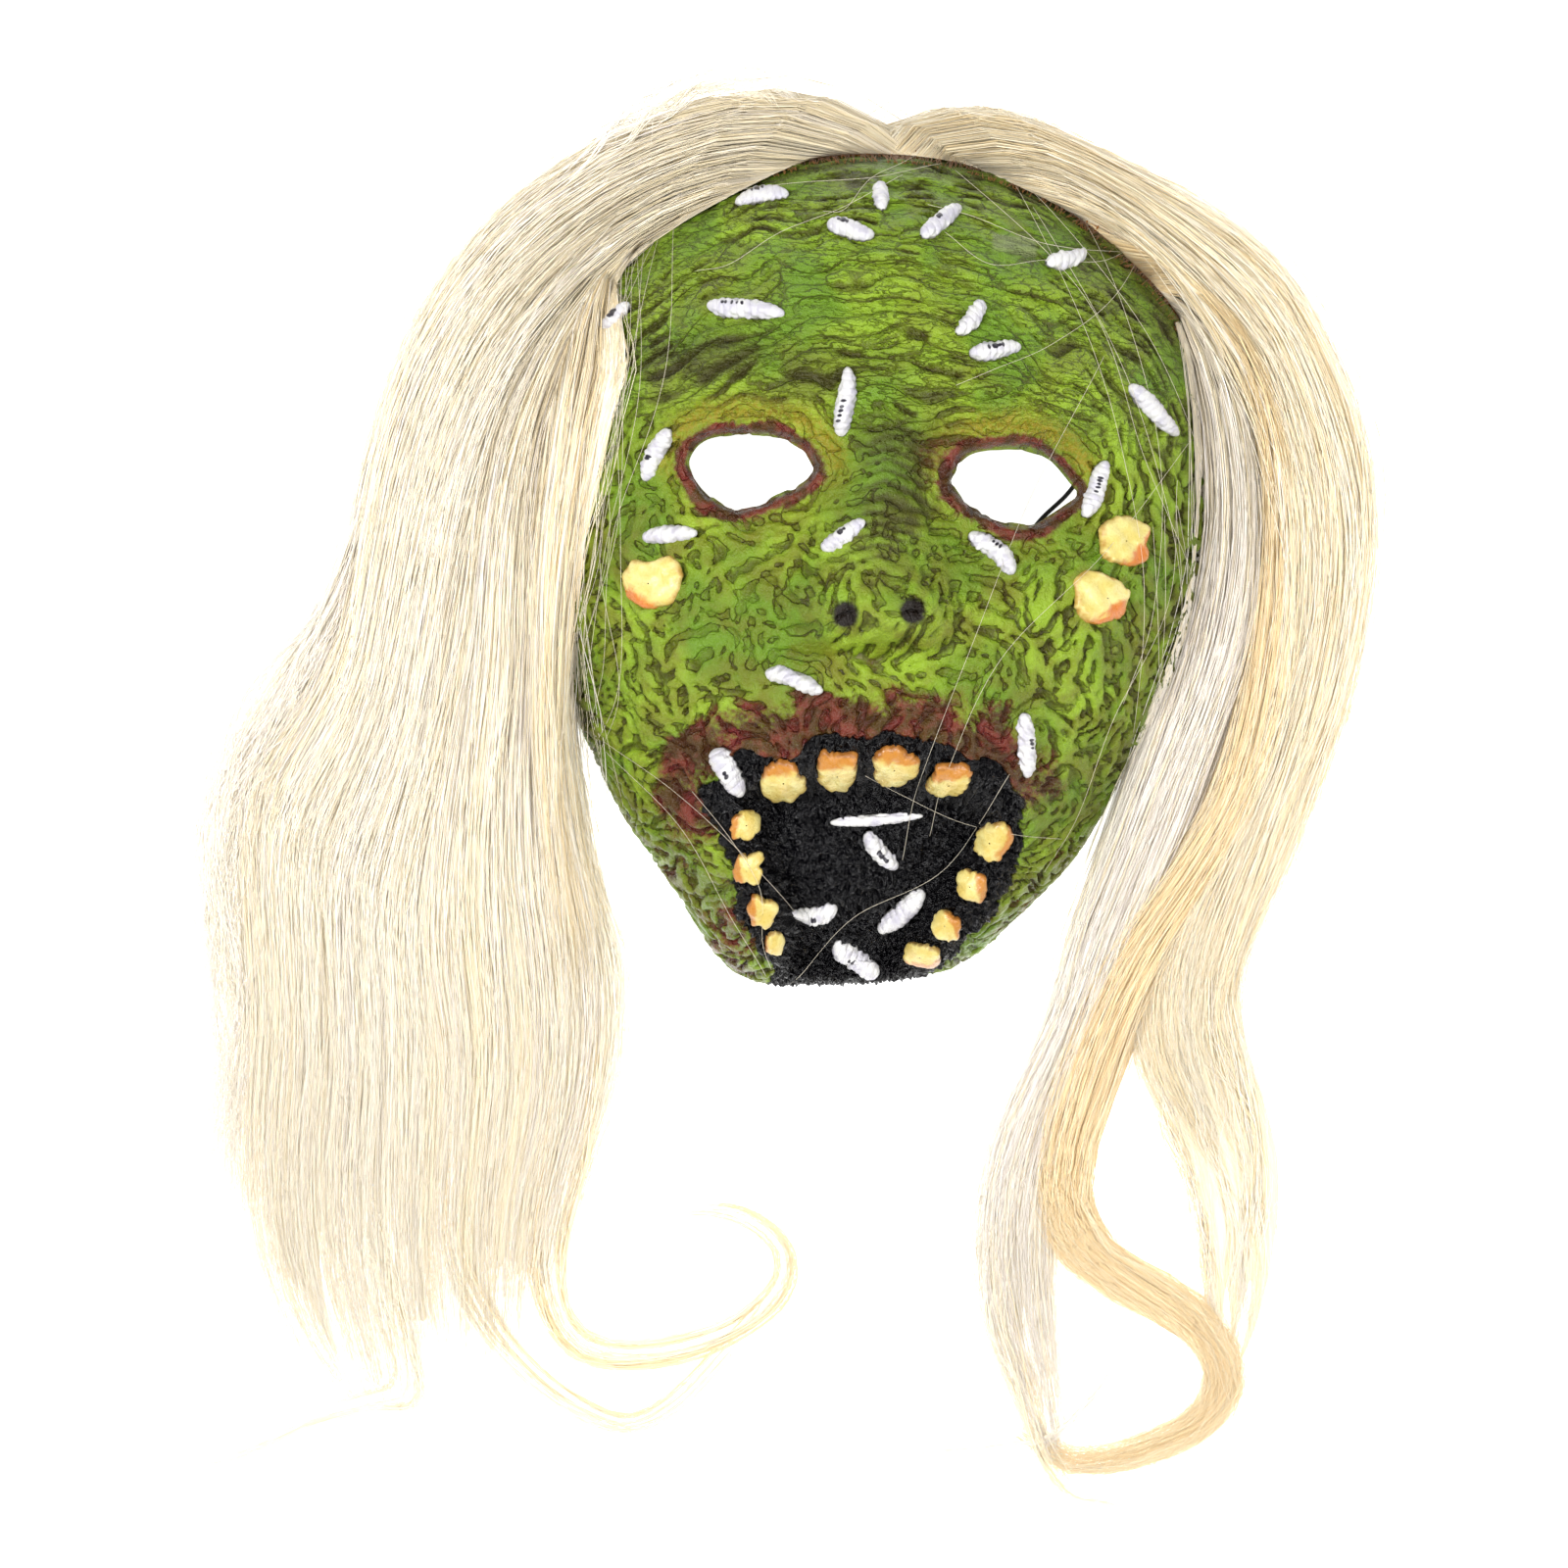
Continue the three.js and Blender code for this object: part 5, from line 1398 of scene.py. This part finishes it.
def mass_fibre():
    # the mass carries the hair's painted glow as a faint emission
    p = Paint("hair_mass", Roughness=0.5, Specular_IOR_Level=0.3, Sheen_Weight=0.15,
              Emission_Color=colour("F8F0DA"), Emission_Strength=HAIR_PAINTED_GLOW)
    flow = p.node("CombineXYZ", {"X": p.times(p.mask("across"), 90.0),
                                 "Y": p.times(p.mask("along"), 2.2)}).outputs[0]
    streak = p.node("TexNoise", {"Vector": flow, "Scale": 1.0, "Detail": 4.0,
                                 "Roughness": 0.6}).outputs["Fac"]
    base = p.mix(p.span(streak, 0.3, 0.7), colour("E9DEC4"), colour("F8F0DA"))
    p.feed("Base Color", p.mix(p.span(p.noise(18, 3), 0.4, 0.7, 0, 0.5), base, colour("F5E2B4")))
    p.bump(streak, 0.0006, 0.7)
    return p.material


def hang_hair(piece):
    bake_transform(piece)


HAIR_NODES = ("hair_crown_left", "hair_crown_right", "hair_left_outer_lock", "hair_left_inner_lock",
              "hair_left_curl", "hair_right_outer_lock", "hair_right_inner_lock")


# ---- camera, floor and lights ----

CAMERA_PLACE = (-19.5, -59.4, 1500.0)
CAMERA_ROLL = math.radians(3.8)
VIEW_WIDTH = 416.0         # seen across the picture at the floor
SENSOR = 36.0
FLOOR_REACH, FLOOR_DROP = 1500.0, 0.05
WORLD_LIGHT = 0.1
# Each lamp: where it hangs in metres, its size in metres and its watts.
LAMPS = {"key": ((-0.75, 0.0, 1.45), 0.6, 28), "fill": ((0.8, -0.45, 1.4), 0.8, 21),
         "top": ((0.1, 0.6, 1.65), 0.6, 8)}


def add_camera():
    data = bpy.data.cameras.new("camera")
    data.sensor_width = SENSOR
    data.lens = SENSOR * CAMERA_PLACE[2] / VIEW_WIDTH
    data.clip_end = 20
    camera = bpy.data.objects.new("camera", data)
    camera.location = place(*CAMERA_PLACE)
    camera.rotation_euler = (0, 0, CAMERA_ROLL)
    bpy.context.scene.collection.objects.link(camera)
    bpy.context.scene.camera = camera


def add_floor():
    corners = [(x * FLOOR_REACH, y * FLOOR_REACH, -FLOOR_DROP)
               for x, y in ((-1, -1), (1, -1), (1, 1), (-1, 1))]
    p = Paint("floor_paper", Roughness=0.9, Specular_IOR_Level=0.1, Emission_Strength=1.0,
              Emission_Color=(1, 1, 1, 1))
    p.feed("Base Color", p.mix(p.noise(3, 3), colour("FBFBFA"), colour("FDFDFC")))
    floor = mesh_object("floor", corners, [(0, 1, 2, 3)], [p.material])


def add_light(name, position, size, watts):
    data = bpy.data.lights.new(name, "AREA")
    data.size = size
    data.energy = watts
    lamp = bpy.data.objects.new(name, data)
    lamp.location = position
    lamp.rotation_euler = (Vector(place(0, -20, 0)) - Vector(position)).to_track_quat("-Z", "Y").to_euler()
    bpy.context.scene.collection.objects.link(lamp)


def add_lights():
    world = bpy.data.worlds.new("studio")
    world.use_nodes = True
    backdrop = world.node_tree.nodes["Background"]
    backdrop.inputs["Color"].default_value = (1, 1, 1, 1)
    backdrop.inputs["Strength"].default_value = WORLD_LIGHT
    bpy.context.scene.world = world
    for name, lamp in LAMPS.items():
        add_light(name, *lamp)


bpy.context.scene.view_settings.view_transform = "Standard"
add_camera()
braid = elastic_cloth()
elastic(braid)
knot("elastic_knot_left", -1, TAIL_LEFT, braid)
knot("elastic_knot_right", 1, TAIL_RIGHT, braid)
add_floor()
add_lights()
wrinkles = make_wrinkles()
latex_face(wrinkles, latex_paint(), latex_inside())
add_trim()
weft_tape()
fibres = hair_tones()
root_fringe(fibres)
loose_hairs(fibres)
make_hair(fibres, mass_fibre())
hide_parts(*HAIR_NODES)
